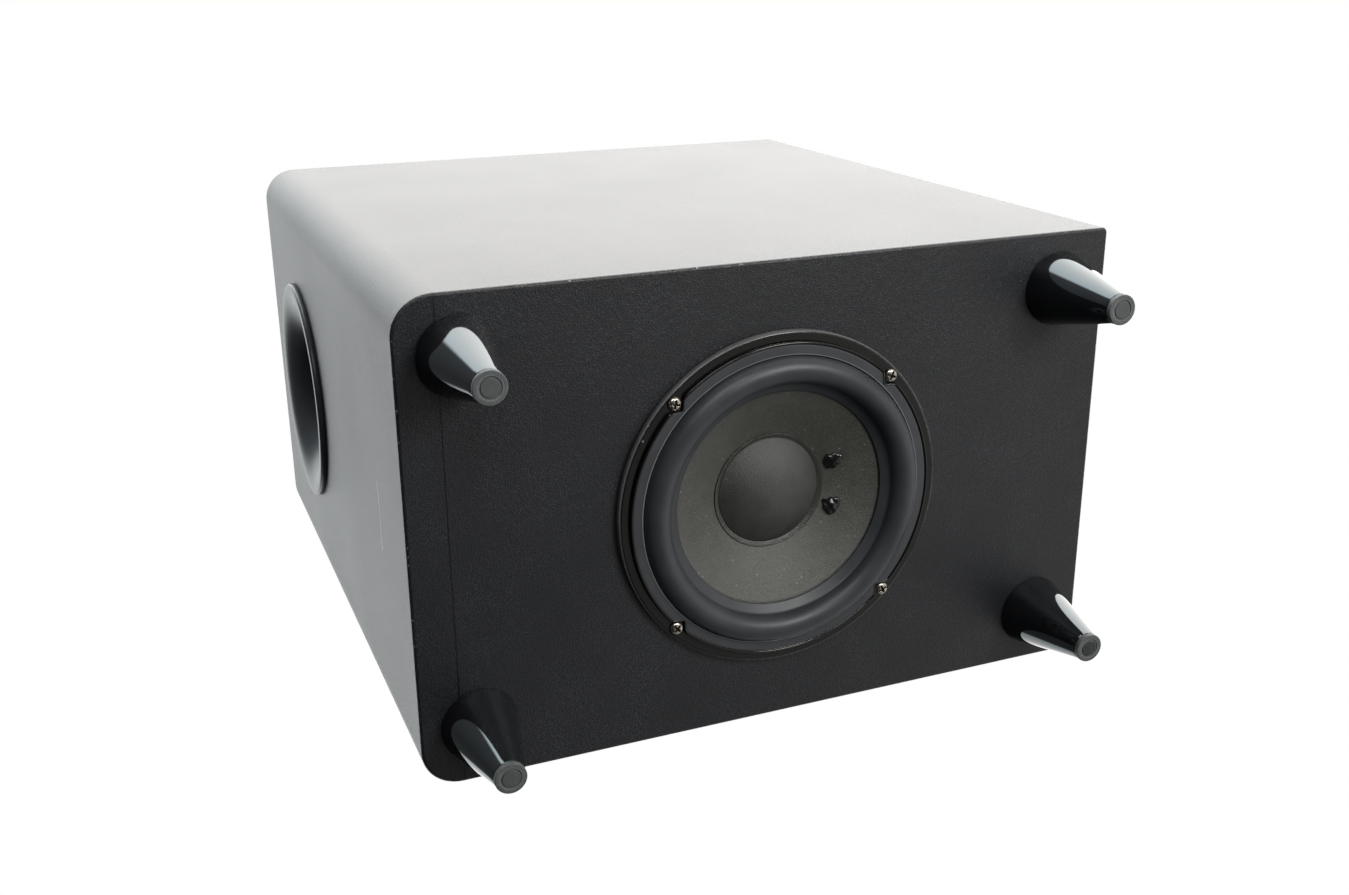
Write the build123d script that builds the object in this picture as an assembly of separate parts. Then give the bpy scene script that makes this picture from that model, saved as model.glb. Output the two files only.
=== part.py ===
from build123d import *
import math
import os

# A powered subwoofer: a ported wooden cabinet on four conical feet, with a long-throw
# driver that fires down at the floor, a flared port in the front board and a plate
# amplifier in the back board. Millimetres. The floor is z = 0, the front faces -Y.

# ---- cabinet -------------------------------------------------------------------
CABINET_WIDTH = 245.0
CABINET_DEPTH = 380.0
CABINET_HEIGHT = 400.0
PANEL = 15.0
BAFFLE = 20.0
FRONT_EDGE_RADIUS = 19.5
REAR_EDGE_RADIUS = 3.0
RIM_RADIUS = 1.5
BRACE_FRAME = 40.0
BRACE_LENGTH = 200.0
BRACE_FROM_BAFFLE = 20.0
BRACE_BELOW_PORT = 33.0
WADDING = (22.0, 220.0, 130.0)
SOFT_GAP = 0.3

# ---- feet ----------------------------------------------------------------------
FOOT_HEIGHT = 52.5
FOOT_INSET = 29.7
FOOT_BASE_RADIUS = 19.75
FOOT_TIP_RADIUS = 7.65
FOOT_EDGE = 0.8
PAD_RADIUS = 7.75
PAD_THICKNESS = 2.5
PAD_PLUG_DEPTH = 5.0
PAD_GROOVE = 0.5
FOOT_BORE_RADIUS = 5.2
FOOT_BORE_TOP = 20.0
FOOT_SCREW_RADIUS = 2.2
FOOT_SCREW_HEAD = (4.5, 3.0)
FOOT_SCREW_DRIVE = 5.0

# ---- port ----------------------------------------------------------------------
PORT_BELOW_TOP = 111.0
PORT_THROAT_RADIUS = 36.0
PORT_FLARE_WIDTH = 28.0
PORT_FLARE_DEPTH = 28.0
PORT_PROUD = 3.5
PORT_LIP = 3.2
PORT_LIP_EDGE = 1.6
PORT_WALL = 2.5
PORT_SOCKET = 12.0
PORT_STEP = 4.0
PORT_LENGTH = 200.0
PORT_CUT_GAP = 0.6

# ---- driver, in its own frame: z = 0 on the underside, +z into the cabinet -----------
FRAME_RADIUS = 88.0
FRAME_FACE = 4.3
FRAME_INNER_RADIUS = 71.0
FRAME_NECK_RADIUS = 72.5
FRAME_WALL = 1.5
FRAME_EDGE = 1.4
SEAL = 0.8
CUTOUT_GAP = 0.5
DRIVER_SCREW_CIRCLE = 83.25
DRIVER_SCREW_RADIUS = 1.9
DRIVER_SCREW_HEAD = (3.6, 2.2)
DRIVER_SCREW_DRIVE = 4.2
ROLL_OUTER = 75.7
ROLL_INNER = 61.7
ROLL_WALL = 1.0
LIP_WALL = 0.6
GASKET_OUTER = 82.5
GASKET_WALL = 1.0
SCREW_NOTCH = 5.6
CONE_EDGE_RADIUS = 61.2
CONE_EDGE_DEPTH = -3.1
CONE_SLOPE = 0.5
CONE_WALL = 0.9
CONE_FLANGE_RADIUS = 57.0
COIL_RADIUS = 19.0
FORMER_WALL = 0.4
WINDING = 0.85
WINDING_LENGTH = 16.0
COIL_GAP = 0.6
FORMER_END = 57.0
CAP_RADIUS = 28.0
CAP_RIM_RADIUS = 30.8
CAP_WALL = 0.8
CAP_APEX = 3.0
GLUE_RADIUS = 36.2
GLUE_ANGLE = 20.5
GLUE_SIZE = (5.2, 2.6)
SPIDER_SEAT = 34.0
SPIDER_WALL = 0.6
SPIDER_WAVES = 5
SPIDER_WAVE_RADIUS = 2.2
SPIDER_RIM = 46.0
BASKET_WAIST = 41.5
BASKET_FLOOR = 44.0
BASKET_SHOULDER = 8.0
BASKET_WINDOWS = 6
WINDOW_ARC = 38.0
TOP_PLATE = (44.0, 6.0)
MAGNET = (27.0, 49.0, 16.0)
YOKE_PLATE = 6.0
POLE_VENT = 5.0
STRIP = (24.0, 11.0, 1.5)
STRIP_REACH = 66.0
TAG = (4.0, 0.8, 8.0)
TAG_SPREAD = 9.0
TAG_REACH = 62.0
TINSEL_RADIUS = 0.7
LEAD_WIRE_RADIUS = 1.2

# ---- plate amplifier, in its own frame: u right and v up seen from behind, w outward --
AMP_WIDTH = 150.0
AMP_HEIGHT = 210.0
AMP_ABOVE_BOTTOM = 200.0
AMP_PLATE = 2.5
AMP_CORNER = 6.0
AMP_PLATE_EDGE = 0.6
AMP_RIM = 12.0
AMP_SCREW_INSET = 6.0
AMP_SCREW_RADIUS = 1.8
AMP_SCREW_HEAD = (3.4, 2.0)
AMP_SCREW_LENGTH = 13.0
AMP_SCREW_DRIVE = 4.0
BOARD = (116.0, 112.0, 1.6)
BOARD_V = 34.0
BOARD_BEHIND = 14.0
SPACER_RADIUS = 3.0
CONTROL_U = 36.0
CONTROL_V = 58.0
POT_BODY = (16.0, 16.0, 8.0)
BUSH_RADIUS = 3.5
BUSH_PROUD = 2.0
SHAFT_RADIUS = 3.0
RUNNING_GAP = 0.05
FIT_GAP = 0.1
MOVING_GAP = 0.3
KNOB_RADIUS = 10.0
KNOB_HEIGHT = 12.0
KNOB_FLOAT = 0.6
KNOB_RIBS = 24
KNOB_POINTER = (1.2, 8.0)
KNOB_EDGE = 1.0
KNOB_RIB_CUT = 0.8
KNOB_CROWN = 3.0
KNOB_SKIRT_GAP = 1.5
SHAFT_FLOOR = 2.0
LED_RADIUS = 1.5
LED_BEHIND = 4.0
LED_V = 88.0
PHASE_V = 22.0
PHASE_BODY = (20.0, 9.0, 8.0)
PHASE_NUB = (5.8, 3.8)
PHASE_TRAVEL = 4.0
PHASE_PROUD = 1.2
PHASE_GRIP = (1.6, 0.6, 0.8)
RCA_U = -40.0
RCA_V = (12.0, -8.0)
RCA_BLOCK = (14.0, 36.0)
RCA_COLLAR = 5.6
RCA_SHELL = (3.5, 4.15, 9.0)
RCA_CONTACT = 1.65
RCA_SEAT = 1.0
RCA_INSET = 0.5
MAINS_U = 40.0
ROCKER_V = -50.0
ROCKER_BEZEL = (15.0, 21.0, 2.0)
ROCKER_BODY = (13.0, 19.0, 18.0)
ROCKER_HALF_LENGTH = 8.7
ROCKER_WIDTH = 10.0
ROCKER_TILT = 10.0
ROCKER_PIVOT_BEHIND = 2.0
ROCKER_FACE = 0.6
ROCKER_SKIRT = 4.0
ROCKER_CORNER = 1.5
ROCKER_EDGE = 0.5
ROCKER_WELL = 8.0
INLET_V = -80.0
INLET_FLANGE = (26.0, 18.0, 2.0)
INLET_BODY = (20.0, 14.0, 18.0)
INLET_MOUTH = (15.6, 9.6, 14.0)
INLET_PIN = (1.2, 8.6, 3.0)
INLET_PIN_TAIL = 6.0
INLET_CORNER = 3.0
INLET_EDGE = 0.6
TRANSFORMER_U = -24.0
TRANSFORMER_V = -66.0
TRANSFORMER_CORE = (54.0, 45.0, 20.0)
TRANSFORMER_LIMB = 18.0
TRANSFORMER_COIL_WALL = 8.0
TRANSFORMER_STAND = 12.0
TRANSFORMER_LUG = 4.0
CAPACITOR = (10.0, 28.0)
CAPACITOR_SPREAD = 13.0
CAPACITOR_V = 30.0
CAPACITOR_EDGE = 1.5

# ---- worked out ------------------------------------------------------------------
HALF_WIDTH = CABINET_WIDTH / 2
FRONT_Y = -CABINET_DEPTH / 2
REAR_Y = CABINET_DEPTH / 2
SEAM_Y = FRONT_Y + BAFFLE
UNDERSIDE = FOOT_HEIGHT
TOP_Z = UNDERSIDE + CABINET_HEIGHT
PORT_Z = TOP_Z - PORT_BELOW_TOP
THROUGH = 20.0
BRACE_TOP = PORT_Z - PORT_THROAT_RADIUS - 2 * PORT_WALL - BRACE_BELOW_PORT
PLATE_FACE = SEAL + AMP_PLATE
CONTROL_TOP = PLATE_FACE + KNOB_FLOAT + KNOB_HEIGHT
BOARD_FRONT = SEAL - BOARD_BEHIND
POLE_RADIUS = COIL_RADIUS - FORMER_WALL - COIL_GAP
GAP_RADIUS = COIL_RADIUS + WINDING + COIL_GAP
TOP_PLATE_BACK = BASKET_FLOOR + TOP_PLATE[1]
MAGNET_BACK = TOP_PLATE_BACK + MAGNET[2]
GAP_MIDDLE = BASKET_FLOOR + TOP_PLATE[1] / 2
# The origin is under the middle of the whole outline, so the fittings behind and the
# port ring in front set how far the cabinet sits from it.
BOX_SHIFT = (CONTROL_TOP - PORT_PROUD) / 2
FOOT_PLACES = {
    "front_left": (-1, -1),
    "front_right": (1, -1),
    "rear_left": (-1, 1),
    "rear_right": (1, 1),
}
UP = (Align.CENTER, Align.CENTER, Align.MIN)
DOWN = (Align.CENTER, Align.CENTER, Align.MAX)
DRIVER = Location((0, 0, UNDERSIDE))
PORT = Plane(origin=(0, FRONT_Y, PORT_Z), x_dir=(1, 0, 0), z_dir=(0, 1, 0)).location
AMP = Plane(
    origin=(0, REAR_Y, UNDERSIDE + AMP_ABOVE_BOTTOM), x_dir=(-1, 0, 0), z_dir=(0, 1, 0)
).location


# ---- helpers ---------------------------------------------------------------------
def turned(profile):
    """A solid of revolution about Z from a face, or from a list of (radius, z) points."""
    if isinstance(profile, list):
        profile = make_face(Plane.XZ * Polyline(*profile, close=True))
    return revolve(profile, axis=Axis.Z)


def ring(inner, outer, low, high):
    """A plain tube about Z."""
    return turned([(inner, low), (outer, low), (outer, high), (inner, high)])


def rod(radius, low, high):
    """A plain round bar along Z."""
    return Pos(0, 0, low) * Cylinder(radius, high - low, align=UP)


def rounded_block(size_u, size_v, corner, low, high):
    """A plate or block with rounded corners, its thickness along Z."""
    return Pos(0, 0, low) * extrude(RectangleRounded(size_u, size_v, corner), high - low)


def tube_along(points, radius):
    """A round wire along straight runs joined by the largest tangent arcs they allow."""
    corners = [Vector(*point) for point in points]
    radii = []
    for before, corner, after in zip(corners, corners[1:], corners[2:]):
        turn = math.radians((corner - before).get_angle(after - corner))
        shorter = min((corner - before).length, (after - corner).length)
        radii.append(0.45 * shorter / math.tan(turn / 2))
    print("wire arc radii", [round(value, 1) for value in radii])
    path = FilletPolyline(*points, radius=radii)
    start = Plane(origin=path @ 0, z_dir=path % 0)
    return sweep(start * Circle(radius), path=path)


def screw(shank, head, length, drive):
    """A pan-head screw about Z: head above z = 0 with a cross recess, shank below."""
    dome = Cylinder(head[0], head[1], align=UP)
    dome = fillet(dome.edges().group_by(Axis.Z)[-1], head[1] * 0.6)
    cross = Box(drive, drive / 4, head[1], align=DOWN) + Box(drive / 4, drive, head[1], align=DOWN)
    return dome - Pos(0, 0, head[1] * 1.5) * cross + Cylinder(shank, length, align=DOWN)


# ---- cabinet ---------------------------------------------------------------------
def cabinet_envelope():
    """The finished outer shape of the closed cabinet, with all its rounded edges."""
    plan = Rectangle(CABINET_WIDTH, CABINET_DEPTH)
    by_depth = plan.vertices().sort_by(Axis.Y)
    plan = fillet(by_depth[:2], FRONT_EDGE_RADIUS)
    plan = fillet(plan.vertices().sort_by(Axis.Y)[-2:], REAR_EDGE_RADIUS)
    block = extrude(Pos(0, 0, UNDERSIDE) * plan, CABINET_HEIGHT)
    rims = block.edges().group_by(Axis.Z)[0] + block.edges().group_by(Axis.Z)[-1]
    return fillet(rims, RIM_RADIUS)


def mitred_board(corners):
    """A board of the folded tube: four (x, z) corners carried from the seam to the rear."""
    section = make_face(Plane.XZ * Polyline(*corners, close=True))
    return Pos(0, SEAM_Y, 0) * extrude(section, CABINET_DEPTH - BAFFLE, dir=(0, 1, 0))


def foot_positions():
    """Name and place of each foot on the underside."""
    reach_x = HALF_WIDTH - FOOT_INSET
    reach_y = REAR_Y - FOOT_INSET
    return {name: (sx * reach_x, sy * reach_y) for name, (sx, sy) in FOOT_PLACES.items()}


def driver_screw_ring():
    return PolarLocations(DRIVER_SCREW_CIRCLE, 4, start_angle=45)


def build_cabinet():
    """The six boards, the brace and the wadding."""
    envelope = cabinet_envelope()
    inner_x, low, high = HALF_WIDTH - PANEL, UNDERSIDE + PANEL, TOP_Z - PANEL
    front_slab = Pos(0, FRONT_Y, UNDERSIDE) * Box(
        CABINET_WIDTH, BAFFLE, CABINET_HEIGHT, align=(Align.CENTER, Align.MIN, Align.MIN)
    )
    port_hole = PORT * Cylinder(port_cut_radius(), 3 * BAFFLE)
    boards = {"front_baffle": envelope & front_slab - port_hole}

    bottom = mitred_board(
        [(-HALF_WIDTH, UNDERSIDE), (HALF_WIDTH, UNDERSIDE), (inner_x, low), (-inner_x, low)]
    )
    bottom -= DRIVER * Cylinder(FRAME_NECK_RADIUS + CUTOUT_GAP, 3 * PANEL)
    for spot in driver_screw_ring():
        bottom -= DRIVER * spot * rod(DRIVER_SCREW_RADIUS, 0, driver_screw_reach())
    for x, y in foot_positions().values():
        bottom -= Pos(x, y, UNDERSIDE) * rod(FOOT_SCREW_RADIUS, 0, foot_screw_reach())
    boards["bottom_panel"] = envelope & bottom
    boards["top_panel"] = envelope & mitred_board(
        [(-HALF_WIDTH, TOP_Z), (HALF_WIDTH, TOP_Z), (inner_x, high), (-inner_x, high)]
    )
    for name, side in (("side_panel_left", -1), ("side_panel_right", 1)):
        boards[name] = envelope & mitred_board(
            [
                (side * HALF_WIDTH, UNDERSIDE),
                (side * HALF_WIDTH, TOP_Z),
                (side * inner_x, high),
                (side * inner_x, low),
            ]
        )

    rear = Pos(0, REAR_Y - PANEL / 2, (low + high) / 2) * Box(2 * inner_x, PANEL, high - low)
    rear -= AMP * rounded_block(*amp_opening(), AMP_CORNER, -2 * PANEL, PANEL)
    for spot in amp_screw_spots():
        rear -= AMP * spot * rod(AMP_SCREW_RADIUS, PLATE_FACE - AMP_SCREW_LENGTH, 0)
    boards["rear_panel"] = rear

    brace_y = SEAM_Y + BRACE_FROM_BAFFLE + BRACE_LENGTH / 2
    window = rounded_block(
        2 * inner_x - 2 * BRACE_FRAME, BRACE_LENGTH - 2 * BRACE_FRAME, BRACE_FRAME / 2, -PANEL, PANEL
    )
    brace = Box(2 * inner_x, BRACE_LENGTH, PANEL, align=DOWN) - window
    boards["shelf_brace"] = Pos(0, brace_y, BRACE_TOP) * brace

    wadding_x = inner_x - WADDING[0] / 2 - SOFT_GAP
    wadding_z = BRACE_TOP + SOFT_GAP + WADDING[2] / 2
    wadding = Pos(wadding_x, brace_y, wadding_z) * Box(*WADDING)
    boards["wadding_pad"] = fillet(wadding.edges().filter_by(Axis.X), WADDING[0] / 2)
    return boards


# ---- feet ------------------------------------------------------------------------
def foot_screw_reach():
    """How far the foot screws go into the bottom board."""
    return PANEL - 1.5


def build_feet():
    """Four moulded cones, each with a rubber pad, and the long screws through them."""
    cone = turned(
        [
            (0, PAD_THICKNESS),
            (FOOT_TIP_RADIUS, PAD_THICKNESS),
            (FOOT_BASE_RADIUS, FOOT_HEIGHT),
            (0, FOOT_HEIGHT),
        ]
    )
    cone = fillet(cone.edges().filter_by(GeomType.CIRCLE), FOOT_EDGE)
    cone -= rod(FOOT_BORE_RADIUS, 0, FOOT_BORE_TOP)
    cone -= rod(FOOT_SCREW_RADIUS, 0, FOOT_HEIGHT)
    pad = rod(PAD_RADIUS, 0, PAD_THICKNESS)
    pad = fillet(pad.edges().group_by(Axis.Z)[0], PAD_GROOVE)
    pad -= ring(FOOT_BORE_RADIUS - 1, FOOT_BORE_RADIUS, 0, PAD_GROOVE)
    pad += rod(FOOT_BORE_RADIUS, PAD_THICKNESS, PAD_THICKNESS + PAD_PLUG_DEPTH)
    length = FOOT_HEIGHT - FOOT_BORE_TOP + foot_screw_reach()
    bolt = Pos(0, 0, FOOT_BORE_TOP) * Rot(180, 0, 0) * screw(FOOT_SCREW_RADIUS, FOOT_SCREW_HEAD, length, FOOT_SCREW_DRIVE)
    pieces, bolts = {}, []
    for name, (x, y) in foot_positions().items():
        pieces[f"foot_{name}"] = Pos(x, y, 0) * cone
        pieces[f"foot_pad_{name}"] = Pos(x, y, 0) * pad
        bolts.append(Pos(x, y, 0) * bolt)
    pieces["foot_screws"] = Compound(bolts)
    return pieces


# ---- port ------------------------------------------------------------------------
def port_flare_profile():
    """Half section of the flare: a quarter ellipse from the lip down to the throat."""
    lip = PORT_THROAT_RADIUS + PORT_FLARE_WIDTH
    outer = lip + PORT_LIP
    depth = PORT_FLARE_DEPTH
    seat = port_seat_radius()
    front = EllipticalCenterArc(
        (lip, depth), PORT_FLARE_WIDTH, depth + PORT_PROUD, start_angle=180, arc_size=90
    )
    back_arc = math.degrees(math.acos((lip - seat) / (PORT_FLARE_WIDTH - PORT_WALL)))
    back = EllipticalCenterArc(
        (lip, depth),
        PORT_FLARE_WIDTH - PORT_WALL,
        depth + PORT_PROUD - PORT_WALL,
        start_angle=180,
        arc_size=back_arc,
    )
    socket = PORT_THROAT_RADIUS + PORT_WALL
    rim = Polyline((lip, -PORT_PROUD), (outer - PORT_LIP_EDGE, -PORT_PROUD))
    edge = RadiusArc(rim @ 1, (outer, PORT_LIP_EDGE - PORT_PROUD), -PORT_LIP_EDGE)
    wall = Polyline(edge @ 1, (outer, 0), back @ 1)
    tail = Polyline(
        back @ 0,
        (socket + PORT_WALL, depth),
        (socket + PORT_WALL, depth + PORT_STEP + PORT_SOCKET),
        (socket, depth + PORT_STEP + PORT_SOCKET),
        (socket, depth + PORT_STEP),
        (PORT_THROAT_RADIUS, depth + PORT_STEP),
        front @ 0,
    )
    sides = [front, rim, edge, wall, back, tail]
    return make_face(Plane.XZ * Wire([piece for side in sides for piece in side.edges()]))


def port_seat_radius():
    """Where the back of the flare passes the face of the front board."""
    reach = PORT_FLARE_DEPTH / (PORT_FLARE_DEPTH + PORT_PROUD - PORT_WALL)
    inward = (PORT_FLARE_WIDTH - PORT_WALL) * math.sqrt(1 - reach**2)
    return PORT_THROAT_RADIUS + PORT_FLARE_WIDTH - inward


def port_cut_radius():
    return port_seat_radius() + PORT_CUT_GAP


def build_port():
    """The moulded flare and the plain tube glued into its socket."""
    start = PORT_FLARE_DEPTH + PORT_STEP
    tube = ring(PORT_THROAT_RADIUS, PORT_THROAT_RADIUS + PORT_WALL, start, PORT_LENGTH)
    return {"port_flare": PORT * turned(port_flare_profile()), "port_tube": PORT * tube}


# ---- driver ----------------------------------------------------------------------
def cone_front(radius):
    """Depth of the cone's front surface at a radius."""
    return CONE_EDGE_DEPTH + (CONE_EDGE_RADIUS - radius) * CONE_SLOPE


def driver_screw_reach():
    """How far the driver screws go into the bottom board."""
    return PANEL - 2


def arch(middle, base, radius, wall, side):
    """Half section of one roll: half an annulus about (middle, base), bulging to -z or +z."""
    annulus = Pos(middle, base) * (Circle(radius + wall / 2) - Circle(radius - wall / 2))
    keep = Pos(middle, base + side * 2 * radius) * Rectangle(4 * radius, 4 * radius)
    return annulus & keep


def build_basket():
    """The pressed frame: mounting flange, windowed bucket, spider shelf and floor."""
    wall, neck = FRAME_WALL, FRAME_NECK_RADIUS
    flange = ring(FRAME_INNER_RADIUS, FRAME_RADIUS, -FRAME_FACE, -SEAL)
    flange = fillet(flange.edges().group_by(Axis.Z)[0].sort_by(SortBy.RADIUS)[-1], FRAME_EDGE)
    bucket = turned(
        [
            (neck - wall, -SEAL),
            (neck - wall, BASKET_SHOULDER),
            (SPIDER_RIM + 0.5, SPIDER_SEAT),
            (BASKET_WAIST, SPIDER_SEAT),
            (BASKET_WAIST, BASKET_FLOOR - wall),
            (GAP_RADIUS + 3, BASKET_FLOOR - wall),
            (GAP_RADIUS + 3, BASKET_FLOOR),
            (BASKET_WAIST + wall, BASKET_FLOOR),
            (BASKET_WAIST + wall, SPIDER_SEAT + wall),
            (SPIDER_RIM + 2.2, SPIDER_SEAT + wall),
            (neck, BASKET_SHOULDER + 1),
            (neck, -SEAL),
        ]
    )
    low, high = BASKET_SHOULDER + 3, SPIDER_SEAT - 4
    slot = Plane.XZ * (Pos(neck, (low + high) / 2) * Rectangle(neck * 0.8, high - low))
    for index in range(BASKET_WINDOWS):
        middle = 90 + index * 360 / BASKET_WINDOWS
        bucket -= Rot(0, 0, middle - WINDOW_ARC / 2) * revolve(slot, Axis.Z, WINDOW_ARC)
    tab_start = SPIDER_RIM
    tab = Pos(0, tab_start, SPIDER_SEAT) * Box(
        STRIP[0] + 2, STRIP_REACH + 1 - tab_start, wall, align=(Align.CENTER, Align.MIN, Align.MIN)
    )
    basket = flange + bucket + tab
    for spot in driver_screw_ring():
        basket -= spot * Cylinder(DRIVER_SCREW_RADIUS, 4 * FRAME_FACE)
    return basket


def build_driver_fixed():
    """Everything in the driver that stays with the cabinet."""
    seal = ring(FRAME_NECK_RADIUS + CUTOUT_GAP, FRAME_RADIUS - 1, -SEAL, 0)
    lip_face = -FRAME_FACE - LIP_WALL
    gasket = ring(ROLL_OUTER + CUTOUT_GAP, GASKET_OUTER, lip_face - GASKET_WALL, lip_face)
    lip = ring(ROLL_OUTER - ROLL_WALL / 2, GASKET_OUTER, lip_face, -FRAME_FACE)
    for spot in driver_screw_ring():
        seal -= spot * Cylinder(DRIVER_SCREW_RADIUS, 4 * SEAL)
        gasket -= spot * Cylinder(SCREW_NOTCH, 4 * FRAME_FACE)
        lip -= spot * Cylinder(SCREW_NOTCH, 4 * FRAME_FACE)

    middle = (ROLL_OUTER + ROLL_INNER) / 2
    radius = (ROLL_OUTER - ROLL_INNER - ROLL_WALL) / 2
    roll = arch(middle, lip_face, radius, ROLL_WALL, -1)
    foot = Pos(ROLL_OUTER - ROLL_WALL / 2, lip_face + LIP_WALL / 2) * Rectangle(ROLL_WALL, LIP_WALL)
    inner = ROLL_INNER + ROLL_WALL
    under = cone_front(inner) - SOFT_GAP
    slope = make_face(
        Polyline(
            (CONE_FLANGE_RADIUS, cone_front(CONE_FLANGE_RADIUS) - SOFT_GAP),
            (inner, under),
            (inner, lip_face),
            (ROLL_INNER, lip_face),
            (CONE_FLANGE_RADIUS, cone_front(CONE_FLANGE_RADIUS) - SOFT_GAP - LIP_WALL),
            close=True,
        )
    )
    surround = turned(Plane.XZ * (roll + foot + slope)) + lip

    base = SPIDER_SEAT - SPIDER_WALL / 2
    collar = COIL_RADIUS + SOFT_GAP + SPIDER_WALL / 2
    web = Pos(collar, base - 1) * Rectangle(SPIDER_WALL, 2)
    for index in range(SPIDER_WAVES):
        centre = collar + SPIDER_WAVE_RADIUS * (2 * index + 1)
        web += arch(centre, base, SPIDER_WAVE_RADIUS, SPIDER_WALL, -1 if index % 2 == 0 else 1)
    flat_start = collar + 2 * SPIDER_WAVE_RADIUS * SPIDER_WAVES - SPIDER_WALL / 2
    web += Pos((flat_start + SPIDER_RIM) / 2, base) * Rectangle(SPIDER_RIM - flat_start, SPIDER_WALL)
    spider = turned(Plane.XZ * web)

    top_plate = ring(GAP_RADIUS, TOP_PLATE[0], BASKET_FLOOR, TOP_PLATE_BACK)
    magnet = ring(MAGNET[0], MAGNET[1], TOP_PLATE_BACK, MAGNET_BACK)
    yoke = rod(TOP_PLATE[0], MAGNET_BACK, MAGNET_BACK + YOKE_PLATE)
    yoke += rod(POLE_RADIUS, BASKET_FLOOR - 1, MAGNET_BACK)
    yoke -= rod(POLE_VENT, 0, MAGNET_BACK + YOKE_PLATE)

    strip_y = STRIP_REACH - STRIP[1] / 2
    strip = Pos(0, strip_y, SPIDER_SEAT) * Box(*STRIP, align=DOWN)
    tags = [
        Pos(side * TAG_SPREAD, TAG_REACH, SPIDER_SEAT - STRIP[2]) * Box(*TAG, align=DOWN)
        for side in (-1, 1)
    ]
    tinsels = [tube_along(tinsel_route(side), TINSEL_RADIUS) for side in (-1, 1)]
    bolt = Rot(180, 0, 0) * screw(
        DRIVER_SCREW_RADIUS, DRIVER_SCREW_HEAD, FRAME_FACE + driver_screw_reach(), DRIVER_SCREW_DRIVE
    )
    bolts = [spot * Pos(0, 0, -FRAME_FACE) * bolt for spot in driver_screw_ring()]
    pieces = {
        "driver_basket": build_basket(),
        "driver_seal": seal,
        "surround_gasket": gasket,
        "surround": surround,
        "spider": spider,
        "top_plate": top_plate,
        "magnet": magnet,
        "pole_yoke": yoke,
        "terminal_strip": strip,
        "terminal_tags": Compound(tags),
        "tinsel_leads": Compound(tinsels),
        "driver_screws": Compound(bolts),
    }
    return {name: DRIVER * piece for name, piece in pieces.items()}


def glue_spot(side):
    """Centre of one glue dab on the cone's front surface."""
    angle = math.radians(90 - side * GLUE_ANGLE)
    return (
        GLUE_RADIUS * math.cos(angle),
        GLUE_RADIUS * math.sin(angle),
        cone_front(GLUE_RADIUS),
    )


def tinsel_route(side):
    """From behind the glue dab, through a basket window, to the tag."""
    x, y, z = glue_spot(side)
    behind = z + CONE_WALL + SOFT_GAP + TINSEL_RADIUS
    tag_x = side * TAG_SPREAD
    tag_y = TAG_REACH - TAG[1] / 2
    tag_z = SPIDER_SEAT - STRIP[2] - TAG[2] + 1.5
    return [
        (x, y, behind),
        (x, y + 6, behind + 8),
        (tag_x, tag_y - 9, tag_z),
        (tag_x, tag_y, tag_z),
    ]


def build_driver_moving():
    """The cone, dust cap, voice coil and the glue dabs over the lead joints."""
    neck = COIL_RADIUS
    cone = turned(
        [
            (neck, cone_front(neck)),
            (CONE_EDGE_RADIUS, CONE_EDGE_DEPTH),
            (CONE_EDGE_RADIUS, CONE_EDGE_DEPTH + CONE_WALL),
            (neck, cone_front(neck) + CONE_WALL),
        ]
    )
    rim = cone_front(CAP_RADIUS)
    inner_rim = CAP_RADIUS - CAP_WALL
    rise = rim - CAP_WALL - CAP_APEX
    sphere = (CAP_RADIUS**2 + rise**2) / (2 * rise)
    centre = CAP_APEX + sphere
    dome = Pos(0, centre) * (Circle(sphere) - Circle(sphere - CAP_WALL))
    below_rim = make_face(
        Polyline(
            (0, 0),
            (CAP_RIM_RADIUS, 0),
            (CAP_RIM_RADIUS, cone_front(CAP_RIM_RADIUS)),
            (inner_rim, cone_front(inner_rim)),
            (0, cone_front(inner_rim)),
            close=True,
        )
    )
    skirt = make_face(
        Polyline(
            (inner_rim, cone_front(inner_rim)),
            (CAP_RIM_RADIUS, cone_front(CAP_RIM_RADIUS)),
            (CAP_RIM_RADIUS, cone_front(CAP_RIM_RADIUS) - CAP_WALL),
            (inner_rim, cone_front(inner_rim) - CAP_WALL),
            close=True,
        )
    )
    dust_cap = turned(Plane.XZ * ((dome & below_rim) + skirt))

    former = ring(COIL_RADIUS - FORMER_WALL, COIL_RADIUS, cone_front(neck) - 3, FORMER_END)
    half = WINDING_LENGTH / 2
    winding = ring(COIL_RADIUS, COIL_RADIUS + WINDING, GAP_MIDDLE - half, GAP_MIDDLE + half)

    foot_radius, height = GLUE_SIZE
    ball = (foot_radius**2 + height**2) / (2 * height)
    front_of_cone = turned(
        [
            (neck, cone_front(neck)),
            (CONE_EDGE_RADIUS, CONE_EDGE_DEPTH),
            (CONE_EDGE_RADIUS, -2 * FRAME_RADIUS),
            (neck, -2 * FRAME_RADIUS),
        ]
    )
    dabs = []
    for side in (-1, 1):
        x, y, z = glue_spot(side)
        normal = Vector(x * CONE_SLOPE, y * CONE_SLOPE, GLUE_RADIUS).normalized()
        middle = Vector(x, y, z) + normal * (ball - height)
        dabs.append(Pos(*middle) * Sphere(ball) & front_of_cone)
    pieces = {
        "cone": cone,
        "dust_cap": dust_cap,
        "coil_former": former,
        "voice_coil": winding,
        "lead_glue": Compound(dabs),
    }
    return {name: DRIVER * piece for name, piece in pieces.items()}


# ---- plate amplifier ---------------------------------------------------------------
def amp_opening():
    """Width and height of the opening in the rear board."""
    return AMP_WIDTH - 2 * AMP_RIM, AMP_HEIGHT - 2 * AMP_RIM


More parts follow.
